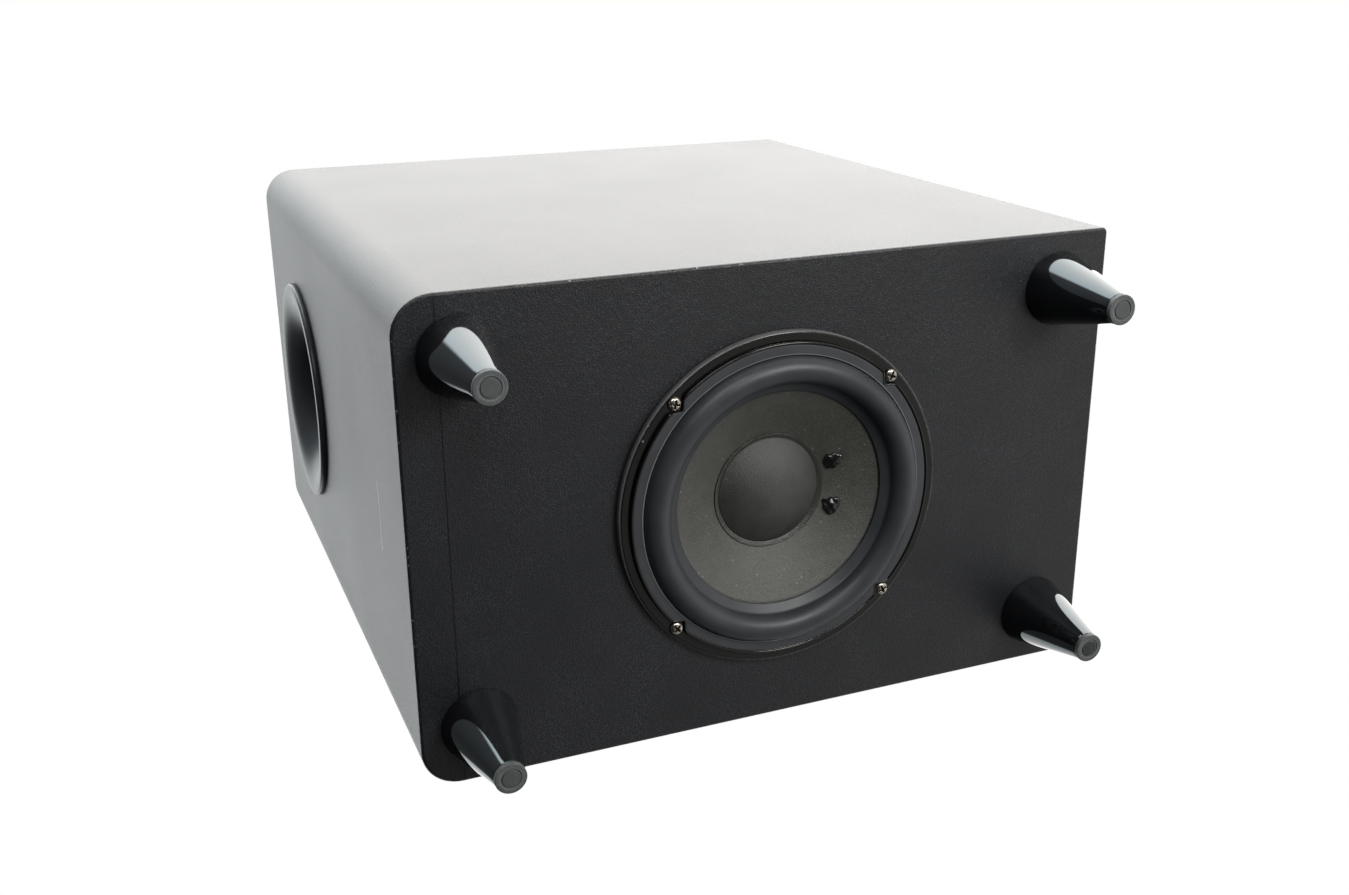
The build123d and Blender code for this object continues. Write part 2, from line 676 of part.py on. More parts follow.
def amp_screw_spots():
    """Eight screws round the plate: the corners and the middle of each side."""
    reach_u = AMP_WIDTH / 2 - AMP_SCREW_INSET
    reach_v = AMP_HEIGHT / 2 - AMP_SCREW_INSET
    return [
        Pos(u * reach_u, v * reach_v, 0)
        for u in (-1, 0, 1)
        for v in (-1, 0, 1)
        if (u, v) != (0, 0)
    ]


def board_corner_spots():
    reach_u = BOARD[0] / 2 - 2 * SPACER_RADIUS
    reach_v = BOARD[1] / 2 - 2 * SPACER_RADIUS
    return [Pos(u * reach_u, BOARD_V + v * reach_v, 0) for u in (-1, 1) for v in (-1, 1)]


def build_amp_plate():
    """The face plate with its openings, the seal under it and its screws."""
    outline = (AMP_WIDTH, AMP_HEIGHT, AMP_CORNER)
    plate = rounded_block(*outline, SEAL, PLATE_FACE)
    plate = chamfer(plate.edges().group_by(Axis.Z)[-1], AMP_PLATE_EDGE)
    seal = rounded_block(*outline, 0, SEAL) - rounded_block(*amp_opening(), AMP_CORNER, 0, SEAL)
    bolt = screw(AMP_SCREW_RADIUS, AMP_SCREW_HEAD, AMP_SCREW_LENGTH, AMP_SCREW_DRIVE)
    bolts = []
    for spot in amp_screw_spots():
        plate -= spot * Cylinder(AMP_SCREW_RADIUS, 4 * PLATE_FACE)
        seal -= spot * Cylinder(AMP_SCREW_RADIUS, 4 * PLATE_FACE)
        bolts.append(spot * Pos(0, 0, PLATE_FACE) * bolt)
    for side in (-1, 1):
        plate -= Pos(side * CONTROL_U, CONTROL_V, 0) * Cylinder(BUSH_RADIUS + FIT_GAP, THROUGH)
    plate -= Pos(0, LED_V, 0) * Cylinder(LED_RADIUS + FIT_GAP, THROUGH)
    window = (PHASE_NUB[0] + PHASE_TRAVEL + 2 * MOVING_GAP, PHASE_NUB[1] + 2 * MOVING_GAP)
    plate -= Pos(0, PHASE_V, 0) * Box(*window, THROUGH)
    for v in RCA_V:
        plate -= Pos(RCA_U, v, 0) * Cylinder(RCA_COLLAR + FIT_GAP, THROUGH)
    plate -= Pos(MAINS_U, ROCKER_V, 0) * Box(
        ROCKER_BODY[0] + 2 * FIT_GAP, ROCKER_BODY[1] + 2 * FIT_GAP, THROUGH
    )
    plate -= Pos(MAINS_U, INLET_V, 0) * Box(
        INLET_BODY[0] + 2 * FIT_GAP, INLET_BODY[1] + 2 * FIT_GAP, THROUGH
    )
    return {"amp_plate": plate, "amp_seal": seal, "amp_screws": Compound(bolts)}


def build_amp_inside():
    """Board, spacers, transformer and reservoir capacitors."""
    board_back = BOARD_FRONT - BOARD[2]
    board = Pos(0, BOARD_V, board_back) * Box(*BOARD, align=UP)
    spacers = [
        spot * rod(SPACER_RADIUS, BOARD_FRONT, SEAL) for spot in board_corner_spots()
    ]
    width, height, stack = TRANSFORMER_CORE
    limb, wall = TRANSFORMER_LIMB, TRANSFORMER_COIL_WALL
    place = Pos(TRANSFORMER_U, TRANSFORMER_V, SEAL - TRANSFORMER_STAND - stack / 2)
    windows = [
        Pos(side * (limb + wall) / 2, 0, 0) * Box(wall, height - limb, stack) for side in (-1, 1)
    ]
    core = Box(width, height, stack)
    for window in windows:
        core -= window
    lug = Box(TRANSFORMER_LUG, height, TRANSFORMER_STAND, align=UP)
    for side in (-1, 1):
        core += Pos(side * (width - TRANSFORMER_LUG) / 2, 0, stack / 2) * lug
    coil = Box(limb + 2 * wall, height - limb, stack + 2 * wall) - Box(limb, height, stack)
    radius, tall = CAPACITOR
    cans = []
    for side in (-1, 1):
        can = Cylinder(radius, tall, align=DOWN)
        can = fillet(can.edges().group_by(Axis.Z)[0], CAPACITOR_EDGE)
        cans.append(Pos(side * CAPACITOR_SPREAD, CAPACITOR_V, board_back) * can)
    return {
        "main_board": board,
        "board_spacers": Compound(spacers),
        "transformer_core": place * core,
        "transformer_coil": place * coil,
        "smoothing_capacitors": Compound(cans),
    }


def build_control(name, u):
    """One rotary control: the potentiometer, its shaft and the ribbed knob."""
    bush_top = PLATE_FACE + BUSH_PROUD
    pot_face = BOARD_FRONT + POT_BODY[2]
    shaft_low = BOARD_FRONT + SHAFT_FLOOR
    pot = Pos(0, 0, BOARD_FRONT) * Box(*POT_BODY, align=UP) + rod(BUSH_RADIUS, pot_face, bush_top)
    pot -= rod(SHAFT_RADIUS + RUNNING_GAP, shaft_low - MOVING_GAP, bush_top)
    knob_low = PLATE_FACE + KNOB_FLOAT
    shaft_top = CONTROL_TOP - KNOB_CROWN
    shaft = rod(SHAFT_RADIUS, shaft_low, shaft_top)
    knob = rod(KNOB_RADIUS, knob_low, CONTROL_TOP)
    knob = fillet(knob.edges().group_by(Axis.Z)[-1], KNOB_EDGE)
    rib_circle = KNOB_RADIUS + KNOB_RIB_CUT / 2
    for spot in PolarLocations(rib_circle, KNOB_RIBS, start_angle=90 + 180 / KNOB_RIBS):
        knob -= spot * rod(KNOB_RIB_CUT, knob_low, CONTROL_TOP)
    width, length = KNOB_POINTER
    knob -= Pos(0, KNOB_RADIUS, CONTROL_TOP) * Box(
        width, length, 1, align=(Align.CENTER, Align.MAX, Align.CENTER)
    )
    knob -= rod(BUSH_RADIUS + KNOB_SKIRT_GAP, knob_low, bush_top + MOVING_GAP)
    knob -= rod(SHAFT_RADIUS, knob_low, shaft_top)
    place = Pos(u, CONTROL_V, 0)
    return {f"{name}_pot": place * pot, f"{name}_shaft": place * shaft, f"{name}_knob": place * knob}


def build_phase_switch():
    """A small slide switch; the nub rests at the left end of its slot."""
    slot = (PHASE_NUB[0] + PHASE_TRAVEL + 2 * MOVING_GAP, PHASE_NUB[1] + 2 * MOVING_GAP)
    floor = SEAL - PHASE_BODY[2] / 2
    body = Pos(0, PHASE_V, SEAL) * Box(*PHASE_BODY, align=DOWN)
    body -= Pos(0, PHASE_V, floor) * Box(*slot, PHASE_BODY[2], align=UP)
    nub = Pos(-PHASE_TRAVEL / 2, PHASE_V, floor + MOVING_GAP) * Box(
        *PHASE_NUB, PLATE_FACE + PHASE_PROUD - floor - MOVING_GAP, align=UP
    )
    spacing, cut_width, cut_depth = PHASE_GRIP
    for offset in (-spacing, 0, spacing):
        nub -= Pos(-PHASE_TRAVEL / 2 + offset, PHASE_V, PLATE_FACE + PHASE_PROUD) * Box(
            cut_width, PHASE_NUB[1], cut_depth
        )
    return {"phase_switch": body, "phase_slider": nub}


def build_rocker():
    """The mains rocker: a bezel and body, and the rocker resting on its off stop."""
    bezel_face = PLATE_FACE + ROCKER_BEZEL[2]
    pivot = bezel_face - ROCKER_PIVOT_BEHIND
    frame = rounded_block(*ROCKER_BEZEL[:2], ROCKER_CORNER, PLATE_FACE, bezel_face)
    frame = fillet(frame.edges().group_by(Axis.Z)[-1], ROCKER_EDGE)
    frame += Pos(0, 0, PLATE_FACE) * Box(*ROCKER_BODY, align=DOWN)
    well = (ROCKER_WIDTH + 2 * MOVING_GAP, 2 * (ROCKER_HALF_LENGTH + MOVING_GAP))
    frame -= Pos(0, 0, pivot - ROCKER_WELL) * Box(*well, THROUGH, align=UP)
    face = ROCKER_PIVOT_BEHIND + ROCKER_FACE
    rise = ROCKER_HALF_LENGTH * math.tan(math.radians(ROCKER_TILT))
    reach = ROCKER_HALF_LENGTH
    outline = make_face(
        Polyline(
            (0, face), (reach, face + rise), (reach, -ROCKER_SKIRT), (-reach, -ROCKER_SKIRT),
            (-reach, face + rise), close=True,
        )
    )
    profile = outline & Circle(ROCKER_HALF_LENGTH)
    paddle = extrude(Plane.YZ * profile, ROCKER_WIDTH / 2, both=True)
    paddle = Pos(0, 0, pivot) * Rot(-ROCKER_TILT, 0, 0) * paddle
    place = Pos(MAINS_U, ROCKER_V, 0)
    return {"rocker_frame": place * frame, "power_rocker": place * paddle}


def build_inlet():
    """The two-pin mains inlet: a flanged body with a stadium-shaped mouth."""
    face = PLATE_FACE + INLET_FLANGE[2]
    body = rounded_block(*INLET_FLANGE[:2], INLET_CORNER, PLATE_FACE, face)
    body = fillet(body.edges().group_by(Axis.Z)[-1], INLET_EDGE)
    body += Pos(0, 0, PLATE_FACE) * Box(*INLET_BODY, align=DOWN)
    width, height, depth = INLET_MOUTH
    body -= Pos(0, 0, face - depth) * extrude(SlotOverall(width, height), depth)
    radius, spacing, below = INLET_PIN
    pins = []
    for side in (-1, 1):
        spot = Pos(side * spacing / 2, 0, 0)
        low = PLATE_FACE - INLET_BODY[2] - INLET_PIN_TAIL
        body -= spot * rod(radius, low, face - depth)
        pins.append(spot * rod(radius, low, face - below))
    place = Pos(MAINS_U, INLET_V, 0)
    return {"mains_inlet": place * body, "inlet_pins": place * Compound(pins)}


def build_rca():
    """A pair of phono sockets: one moulded block and two plated shells."""
    inner, outer, length = RCA_SHELL
    seat = PLATE_FACE + RCA_SEAT
    middle = sum(RCA_V) / 2
    block = Pos(0, middle, BOARD_FRONT) * Box(*RCA_BLOCK, BOARD_BEHIND, align=UP)
    shells = []
    for v in RCA_V:
        block += Pos(0, v, 0) * rod(RCA_COLLAR, SEAL, seat)
        block += Pos(0, v, 0) * rod(inner, seat, seat + length - RCA_INSET)
        block -= Pos(0, v, 0) * rod(RCA_CONTACT, seat - 1, seat + length)
        shells.append(Pos(0, v, 0) * ring(inner, outer, seat, seat + length))
    place = Pos(RCA_U, 0, 0)
    return {"rca_block": place * block, "rca_shells": place * Compound(shells)}


def build_led():
    """The status lamp in its hole near the top of the plate."""
    lamp = rod(LED_RADIUS, SEAL - LED_BEHIND, PLATE_FACE) + Pos(0, 0, PLATE_FACE) * Sphere(LED_RADIUS)
    return {"status_led": Pos(0, LED_V, 0) * lamp}


def build_amplifier():
    pieces = {
        **build_amp_plate(),
        **build_amp_inside(),
        **build_control("level", -CONTROL_U),
        **build_control("crossover", CONTROL_U),
        **build_phase_switch(),
        **build_rocker(),
        **build_inlet(),
        **build_rca(),
        **build_led(),
    }
    return {name: AMP * piece for name, piece in pieces.items()}


def build_driver_lead():
    """The two insulated wires from the driver's tags to the back of the main board."""
    tag_z = UNDERSIDE + SPIDER_SEAT - STRIP[2] - TAG[2] / 2
    board_back = REAR_Y + BOARD_FRONT - BOARD[2]
    board_z = UNDERSIDE + AMP_ABOVE_BOTTOM + BOARD_V - BOARD[1] / 2 + 12
    start_y = TAG_REACH + TAG[1] / 2
    bend_y = board_back - 42
    wires = []
    for side in (-1, 1):
        wires.append(
            tube_along(
                [
                    (side * TAG_SPREAD, start_y, tag_z),
                    (side * TAG_SPREAD, start_y + 15, tag_z),
                    (side * 3 + 3, (start_y + bend_y) / 2 + 6, tag_z + 6),
                    (side * 2 + 8, bend_y, tag_z + 36),
                    (side * 2 + 11, bend_y + 4, tag_z + 78),
                    (side * 2 + 13, bend_y + 10, board_z - 22),
                    (side * 2 + 13, board_back - 18, board_z),
                    (side * 2 + 13, board_back, board_z),
                ],
                LEAD_WIRE_RADIUS,
            )
        )
    return {"driver_lead": Compound(wires)}


def main():
    os.makedirs("parts", exist_ok=True)
    pieces = {
        **build_cabinet(),
        **build_feet(),
        **build_port(),
        **build_driver_fixed(),
        **build_driver_moving(),
        **build_amplifier(),
        **build_driver_lead(),
    }
    for name, piece in pieces.items():
        export_step(Pos(0, -BOX_SHIFT, 0) * piece, f"parts/{name}.step")
    print(len(pieces), "pieces; cabinet centre at y =", round(-BOX_SHIFT, 3))


main()
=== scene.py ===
import math

import bmesh
import bpy
import numpy as np
from mathutils import Matrix, Vector


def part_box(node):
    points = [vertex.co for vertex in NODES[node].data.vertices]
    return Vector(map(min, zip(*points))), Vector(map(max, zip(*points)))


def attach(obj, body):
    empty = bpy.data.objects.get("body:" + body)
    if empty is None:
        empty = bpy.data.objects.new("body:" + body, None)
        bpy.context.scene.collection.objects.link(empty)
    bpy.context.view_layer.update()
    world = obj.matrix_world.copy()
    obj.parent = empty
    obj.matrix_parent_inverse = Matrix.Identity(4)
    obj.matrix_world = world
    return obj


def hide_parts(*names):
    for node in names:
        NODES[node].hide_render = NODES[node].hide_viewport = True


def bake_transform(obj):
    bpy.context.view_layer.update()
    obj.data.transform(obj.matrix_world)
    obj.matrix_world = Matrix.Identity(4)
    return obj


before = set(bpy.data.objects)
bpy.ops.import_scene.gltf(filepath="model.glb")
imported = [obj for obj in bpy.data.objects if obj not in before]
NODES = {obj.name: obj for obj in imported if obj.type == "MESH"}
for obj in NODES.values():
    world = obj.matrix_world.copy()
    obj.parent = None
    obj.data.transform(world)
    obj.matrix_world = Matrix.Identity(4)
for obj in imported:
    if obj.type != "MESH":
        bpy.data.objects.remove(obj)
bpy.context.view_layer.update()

MM = 0.001
CABINET = "cabinet"
CONE_BODY = "cone_assembly"


# ---- places, all read from the frame -------------------------------------------------
def node_box(*names):
    """Lowest and highest corner of one or more CAD nodes together, as two arrays."""
    corners = np.array([[tuple(corner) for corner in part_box(name)] for name in names])
    return corners[:, 0].min(0), corners[:, 1].max(0)


def middle(name):
    """Centre of a CAD node's box."""
    low, high = node_box(name)
    return (low + high) / 2


BOARDS = ("front_baffle", "side_panel_left", "side_panel_right", "top_panel", "bottom_panel",
          "rear_panel")
BOX_LOW, BOX_HIGH = node_box(*BOARDS)
BOX_MIDDLE, BOX_HALF = (BOX_LOW + BOX_HIGH) / 2, (BOX_HIGH - BOX_LOW) / 2
UNDERSIDE = BOX_LOW[2]
FRONT = BOX_LOW[1]
SEAM = node_box("bottom_panel")[0][1]
DRIVER = np.array([*middle("cone")[:2], UNDERSIDE])
PORT = np.array([middle("port_flare")[0], FRONT, middle("port_flare")[2]])


# ---- camera --------------------------------------------------------------------------
LENS = 38.14
SENSOR = 36.0
CAMERA_PLACE = Vector((0.2647, -0.3109, -0.5490))
CAMERA_AIM = Vector((0.0353, -0.0633, 0.0525))
CAMERA_ROLL = math.radians(-0.5)


def build_camera():
    """The cabinet lies on its left side, so the camera's up is close to the part's +X."""
    back = (CAMERA_PLACE - CAMERA_AIM).normalized()
    up = Vector((1, 0, 0))
    up = (up - up.dot(back) * back).normalized()
    up = Matrix.Rotation(CAMERA_ROLL, 3, back) @ up
    right = up.cross(back)
    data = bpy.data.cameras.new("camera")
    data.lens = LENS
    data.sensor_width = SENSOR
    data.clip_end = 50
    camera = bpy.data.objects.new("camera", data)
    bpy.context.scene.collection.objects.link(camera)
    axes = Matrix((right, up, back)).transposed()
    camera.matrix_world = Matrix.Translation(CAMERA_PLACE) @ axes.to_4x4()
    bpy.context.scene.camera = camera


build_camera()


# ---- mesh helpers --------------------------------------------------------------------
WELD = 1e-6          # metres; points closer than this become one
DOWN_AXIS = np.eye(3)
PORT_AXIS = np.array([(1, 0, 0), (0, 0, -1), (0, 1, 0)], float)


def rounded(corners, closed=True, steps=7):
    """A profile with filleted corners. Each corner is (radius, height, fillet); its point
    gives way to an arc tangent to both sides, sampled at even angles."""
    corners = [tuple(corner) + (0,) * (3 - len(corner)) for corner in corners]
    count, out = len(corners), []
    for index, (x, y, fillet) in enumerate(corners):
        point = np.array((x, y), float)
        if fillet <= 0 or (not closed and index in (0, count - 1)):
            out.append(point[None])
            continue
        before = np.array(corners[index - 1][:2]) - point
        after = np.array(corners[(index + 1) % count][:2]) - point
        before, after = before / np.linalg.norm(before), after / np.linalg.norm(after)
        half = math.acos(np.clip(before @ after, -1, 1)) / 2
        bisector = (before + after) / np.linalg.norm(before + after)
        centre = point + bisector * fillet / math.sin(half)
        start = point + before * fillet / math.tan(half) - centre
        end = point + after * fillet / math.tan(half) - centre
        turn = math.atan2(start[0] * end[1] - start[1] * end[0], start @ end)
        angles = np.linspace(0, turn, steps)
        cosine, sine = np.cos(angles), np.sin(angles)
        arc = np.stack([start[0] * cosine - start[1] * sine,
                        start[0] * sine + start[1] * cosine], 1)
        out.append(centre + arc)
    return np.vstack(out)


def refined(profile, step, closed=True):
    """The same profile with every side divided so that no piece is longer than step."""
    ends = np.vstack([profile[1:], profile[:1]]) if closed else profile[1:]
    starts = profile[: len(ends)]
    pieces = []
    for start, end in zip(starts, ends):
        count = max(1, math.ceil(np.linalg.norm(end - start) / step))
        pieces.append(start + (end - start) * (np.arange(count) / count)[:, None])
    if not closed:
        pieces.append(profile[-1:])
    return np.vstack(pieces)


def mesh_object(name, points, slot, closed=False):
    """A grid of points, profile by turn, skinned with quads. The turn always joins its last
    point to its first, and the profile does so when closed. Rows that fall on one point merge
    into a pole, and normals face outwards."""
    count_u, count_v = points.shape[:2]
    index = np.arange(count_u * count_v).reshape(count_u, count_v)
    if closed:
        index = np.vstack([index, index[:1]])
    index = np.hstack([index, index[:, :1]])
    quads = np.stack([index[:-1, :-1], index[1:, :-1], index[1:, 1:], index[:-1, 1:]], -1)
    rows, columns = quads.shape[:2]
    along = np.linspace(0, 1, rows + 1)[:, None] * np.ones(columns + 1)
    round_ = np.ones(rows + 1)[:, None] * np.linspace(0, 1, columns + 1)
    grid = np.stack([round_, along], -1)
    corners = np.stack([grid[:-1, :-1], grid[1:, :-1], grid[1:, 1:], grid[:-1, 1:]], -2)
    mesh = bpy.data.meshes.new(name)
    mesh.from_pydata(points.reshape(-1, 3).tolist(), [], quads.reshape(-1, 4).tolist())
    layer = mesh.uv_layers.new(name="UVMap")
    layer.data.foreach_set("uv", corners.reshape(-1).astype(np.float32))
    work = bmesh.new()
    work.from_mesh(mesh)
    bmesh.ops.remove_doubles(work, verts=work.verts, dist=WELD)
    bmesh.ops.recalc_face_normals(work, faces=work.faces)
    work.to_mesh(mesh)
    work.free()
    mesh.polygons.foreach_set("use_smooth", np.ones(len(mesh.polygons), bool))
    mesh.materials.append(FINISHES[slot])
    piece = bpy.data.objects.new(name, mesh)
    bpy.context.scene.collection.objects.link(piece)
    return piece


def lathe_points(profile, steps, relief=None):
    """Profile (radius, height) in mm turned about the height axis: x = r cos a, y = r sin a.
    relief(angle, radius, height) returns what to add to radius and height."""
    angle = np.linspace(0, 2 * math.pi, steps, endpoint=False)[None, :]
    radius = profile[:, :1] * np.ones_like(angle)
    height = profile[:, 1:] * np.ones_like(angle)
    angle = angle * np.ones_like(radius)
    if relief is not None:
        more_radius, more_height = relief(angle, radius, height)
        radius, height = radius + more_radius, height + more_height
    return np.stack([radius * np.cos(angle), radius * np.sin(angle), height], -1)


def placed(points, origin, axes=DOWN_AXIS):
    """Local millimetres to metres in the part's frame; axes holds the local x, y, z rows."""
    return points @ axes * MM + origin


def lathe(name, profile, steps, origin, slot, body, nodes, axes=DOWN_AXIS, relief=None,
          closed=True):
    """A turned piece that stands for the CAD nodes it names and rides on a body."""
    points = placed(lathe_points(profile, steps, relief), origin, axes)
    piece = mesh_object(name, points, slot, closed)
    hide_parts(*nodes)
    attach(piece, body)


def tube(path, radius, sides):
    """Points of a round tube: circles of the given radius (one per path point) square to the
    path, with the ends drawn in to a point so that the tube is closed."""
    tangent = np.gradient(path, axis=0)
    tangent /= np.linalg.norm(tangent, axis=1)[:, None]
    guide = np.array((0.0, 0.0, 1.0)) if abs(tangent[0][2]) < 0.9 else np.array((1.0, 0, 0))
    side = np.cross(tangent, guide)
    side /= np.linalg.norm(side, axis=1)[:, None]
    other = np.cross(tangent, side)
    angle = np.linspace(0, 2 * math.pi, sides, endpoint=False)
    radius = np.broadcast_to(radius, len(path))[:, None, None]
    ring = (side[:, None] * np.cos(angle)[None, :, None]
            + other[:, None] * np.sin(angle)[None, :, None])
    body = path[:, None] + radius * ring
    first = np.broadcast_to(path[:1, None], (1, sides, 3))
    last = np.broadcast_to(path[-1:, None], (1, sides, 3))
    return np.concatenate([first, body, last])


def smooth_path(points, count):
    """A Catmull-Rom line through the points, sampled evenly by parameter."""
    points = np.asarray(points, float)
    padded = np.vstack([2 * points[0] - points[1], points, 2 * points[-1] - points[-2]])
    t = np.linspace(0, len(points) - 1 - 1e-9, count)
    i, f = t.astype(int), (t % 1)[:, None]
    a, b, c, d = (padded[i + k] for k in range(4))
    return 0.5 * (2 * b + (c - a) * f + (2 * a - 5 * b + 4 * c - d) * f**2
                  + (3 * b - 3 * c + d - a) * f**3)


# ---- shared effects ------------------------------------------------------------------
def group(name, inputs, outputs):
    """A shader node group with named float or vector inputs; returns it with its two ends."""
    tree = bpy.data.node_groups.new(name, "ShaderNodeTree")
    for label, kind, value in inputs:
        socket = tree.interface.new_socket(label, in_out="INPUT", socket_type=kind)
        if value is not None:
            socket.default_value = value
    for label, kind in outputs:
        tree.interface.new_socket(label, in_out="OUTPUT", socket_type=kind)
    return tree, tree.nodes.new("NodeGroupInput"), tree.nodes.new("NodeGroupOutput")


def feed(tree, socket, source):
    """Links a socket to another node's socket, or sets its own value."""
    if isinstance(source, bpy.types.NodeSocket):
        tree.links.new(source, socket)
    else:
        socket.default_value = source


def node(tree, kind, links=(), **values):
    """A node with settings by attribute name; links are (input name or index, socket or value)."""
    made = tree.nodes.new("ShaderNode" + kind)
    for key, value in values.items():
        setattr(made, key, value)
    for key, source in links:
        feed(tree, made.inputs[key], source)
    return made


def maths(tree, operation, *sources, clamp=False):
    """One Math node; its sources are sockets or numbers."""
    return node(tree, "Math", list(enumerate(sources)), operation=operation,
                use_clamp=clamp).outputs[0]


def remap(tree, source, low, high, to_low=0.0, to_high=1.0, smooth=False):
    """A Map Range node, clamped, from one span to another."""
    return node(tree, "MapRange", [("Value", source), ("From Min", low), ("From Max", high),
                                   ("To Min", to_low), ("To Max", to_high)],
                interpolation_type="SMOOTHSTEP" if smooth else "LINEAR").outputs["Result"]


FLOAT, VECTOR = "NodeSocketFloat", "NodeSocketVector"


def mottle_group():
    """Cloudy variation from 0 to 1: three octaves of noise, stretched about its middle."""
    tree, enter, leave = group("mottle", [("Vector", VECTOR, None), ("Scale", FLOAT, 60.0),
                                          ("Contrast", FLOAT, 2.0)], [("Value", FLOAT)])
    noise = node(tree, "TexNoise", [("Vector", enter.outputs[0]), ("Scale", enter.outputs[1]),
                                    ("Detail", 3.0), ("Roughness", 0.6)])
    centred = maths(tree, "SUBTRACT", noise.outputs[0], 0.5)
    spread = maths(tree, "MULTIPLY", centred, enter.outputs[2])
    tree.links.new(maths(tree, "ADD", spread, 0.5, clamp=True), leave.inputs[0])
    return tree


def leather_group():
    """Embossed leather grain: cells with soft bumps, plus finer pores. Height is 0 to 1."""
    tree, enter, leave = group("leather", [("Vector", VECTOR, None), ("Scale", FLOAT, 900.0)],
                               [("Height", FLOAT), ("Peaks", FLOAT)])
    bend = node(tree, "TexNoise", [("Vector", enter.outputs[0]), ("Scale", 350.0),
                                   ("Detail", 1.0)])
    push = node(tree, "VectorMath", [(0, bend.outputs["Color"]), (1, (0.002, 0.002, 0.002))],
                operation="MULTIPLY")
    moved = node(tree, "VectorMath", [(0, enter.outputs[0]), (1, push.outputs[0])],
                 operation="ADD")
    cells = node(tree, "TexVoronoi", [("Vector", moved.outputs[0]),
                                      ("Scale", enter.outputs[1])], feature="F1")
    dome = remap(tree, cells.outputs["Distance"], 0.15, 0.75, 1.0, 0.0, smooth=True)
    pores = node(tree, "TexNoise", [("Vector", enter.outputs[0]), ("Scale", 2600.0),
                                    ("Detail", 2.0)])
    fine = maths(tree, "MULTIPLY", pores.outputs[0], 0.35)
    tree.links.new(maths(tree, "ADD", dome, fine), leave.inputs[0])
    tree.links.new(remap(tree, dome, 0.78, 1.0), leave.inputs[1])
    return tree


def speck_group():
    """Sparse round specks: the middles of the few cells whose random number is over a bar."""
    tree, enter, leave = group("specks", [("Vector", VECTOR, None), ("Scale", FLOAT, 120.0),
                                          ("Share", FLOAT, 0.03), ("Size", FLOAT, 0.12)],
                               [("Mask", FLOAT)])
    cells = node(tree, "TexVoronoi", [("Vector", enter.outputs[0]),
                                      ("Scale", enter.outputs[1])], feature="F1")
    pick = node(tree, "SeparateColor", [(0, cells.outputs["Color"])])
    chosen = maths(tree, "LESS_THAN", pick.outputs[0], enter.outputs[2])
    near = maths(tree, "LESS_THAN", cells.outputs["Distance"], enter.outputs[3])
    tree.links.new(maths(tree, "MULTIPLY", chosen, near), leave.inputs[0])
    return tree


MOTTLE, LEATHER, SPECKS = mottle_group(), leather_group(), speck_group()


def grouped(tree, shared, *sources):
    """A shared effect placed in a material, its inputs given in order."""
    made = tree.nodes.new("ShaderNodeGroup")
    made.node_tree = shared
    for socket, source in zip(made.inputs, sources):
        feed(tree, socket, source)
    return made.outputs


def mottle(tree, where, scale, contrast):
    """Cloudy variation in a material; scale is in cells per metre."""
    return grouped(tree, MOTTLE, where, scale, contrast)[0]


def specks(tree, where, scale, share, size):
    """Specks in a material: scale in cells per metre, the share of cells that hold one, and
    its radius as a part of a cell."""
    return grouped(tree, SPECKS, where, scale, share, size)[0]


def blank(name):
    """A new material with one Principled shader; returns it with its tree, its shader and
    the place on the object."""
    material = bpy.data.materials.new(name)
    material.use_nodes = True
    tree = material.node_tree
    place = tree.nodes.new("ShaderNodeTexCoord")
    return material, tree, tree.nodes["Principled BSDF"], place.outputs["Object"]


MIX_FACTOR, MIX_FIRST, MIX_SECOND, MIX_RESULT = 0, 6, 7, 2


def opaque(colour):
    """A colour with full alpha; a socket is passed on as it is."""
    return colour if isinstance(colour, bpy.types.NodeSocket) else (*colour, 1)


def mixed(tree, factor, first, second):
    """Colour mix; first and second are colours or sockets."""
    links = [(MIX_FACTOR, factor), (MIX_FIRST, opaque(first)), (MIX_SECOND, opaque(second))]
    return node(tree, "Mix", links, data_type="RGBA").outputs[MIX_RESULT]


def dressed(tree, shader, colour, roughness, height=None, relief=0.0):
    """Feeds a surface's colour and roughness to its shader and, where there is relief, a
    height in 0 to 1 as a bump of that many metres."""
    tree.links.new(colour, shader.inputs["Base Color"])
    tree.links.new(roughness, shader.inputs["Roughness"])
    if relief:
        bump = node(tree, "Bump", [("Height", height), ("Distance", relief),
                                   ("Strength", 1.0)])
        tree.links.new(bump.outputs[0], shader.inputs["Normal"])


def constants(shader, **values):
    """Sets the shader's own sockets; underscores stand for spaces in their names."""
    for key, value in values.items():
        shader.inputs[key.replace("_", " ")].default_value = value


LINT_SCALE, LINT_SIZE = 260.0, 0.16
HANDLED_SCALE = 2.7       # hand marks are this much finer than the colour's drift
GRAIN_CONTRAST = 1.6
LEAST_ROUGHNESS = 0.02


def plain_finish(name, colour, other, roughness, swing=0.08, scale=90.0, contrast=2.0,
                 grain=0.0, grain_scale=1500.0, lint=0.0, lint_colour=(0.5, 0.5, 0.5),
                 **settings):
    """A finish whose colour and gloss drift between two states, with fine moulded or cast
    grain in relief (metres) and, where asked, a share of the surface under sparse lint."""
    material, tree, shader, where = blank(name)
    paint = mixed(tree, mottle(tree, where, scale, contrast), colour, other)
    if lint:
        dots = specks(tree, where, LINT_SCALE, lint, LINT_SIZE)
        paint = mixed(tree, dots, paint, lint_colour)
    handled = mottle(tree, where, scale * HANDLED_SCALE, contrast)
    gloss = remap(tree, handled, 0, 1, max(LEAST_ROUGHNESS, roughness - swing),
                  roughness + swing)
    texture = mottle(tree, where, grain_scale, GRAIN_CONTRAST) if grain else None
    dressed(tree, shader, paint, gloss, texture, grain)
    constants(shader, **settings)
    return material


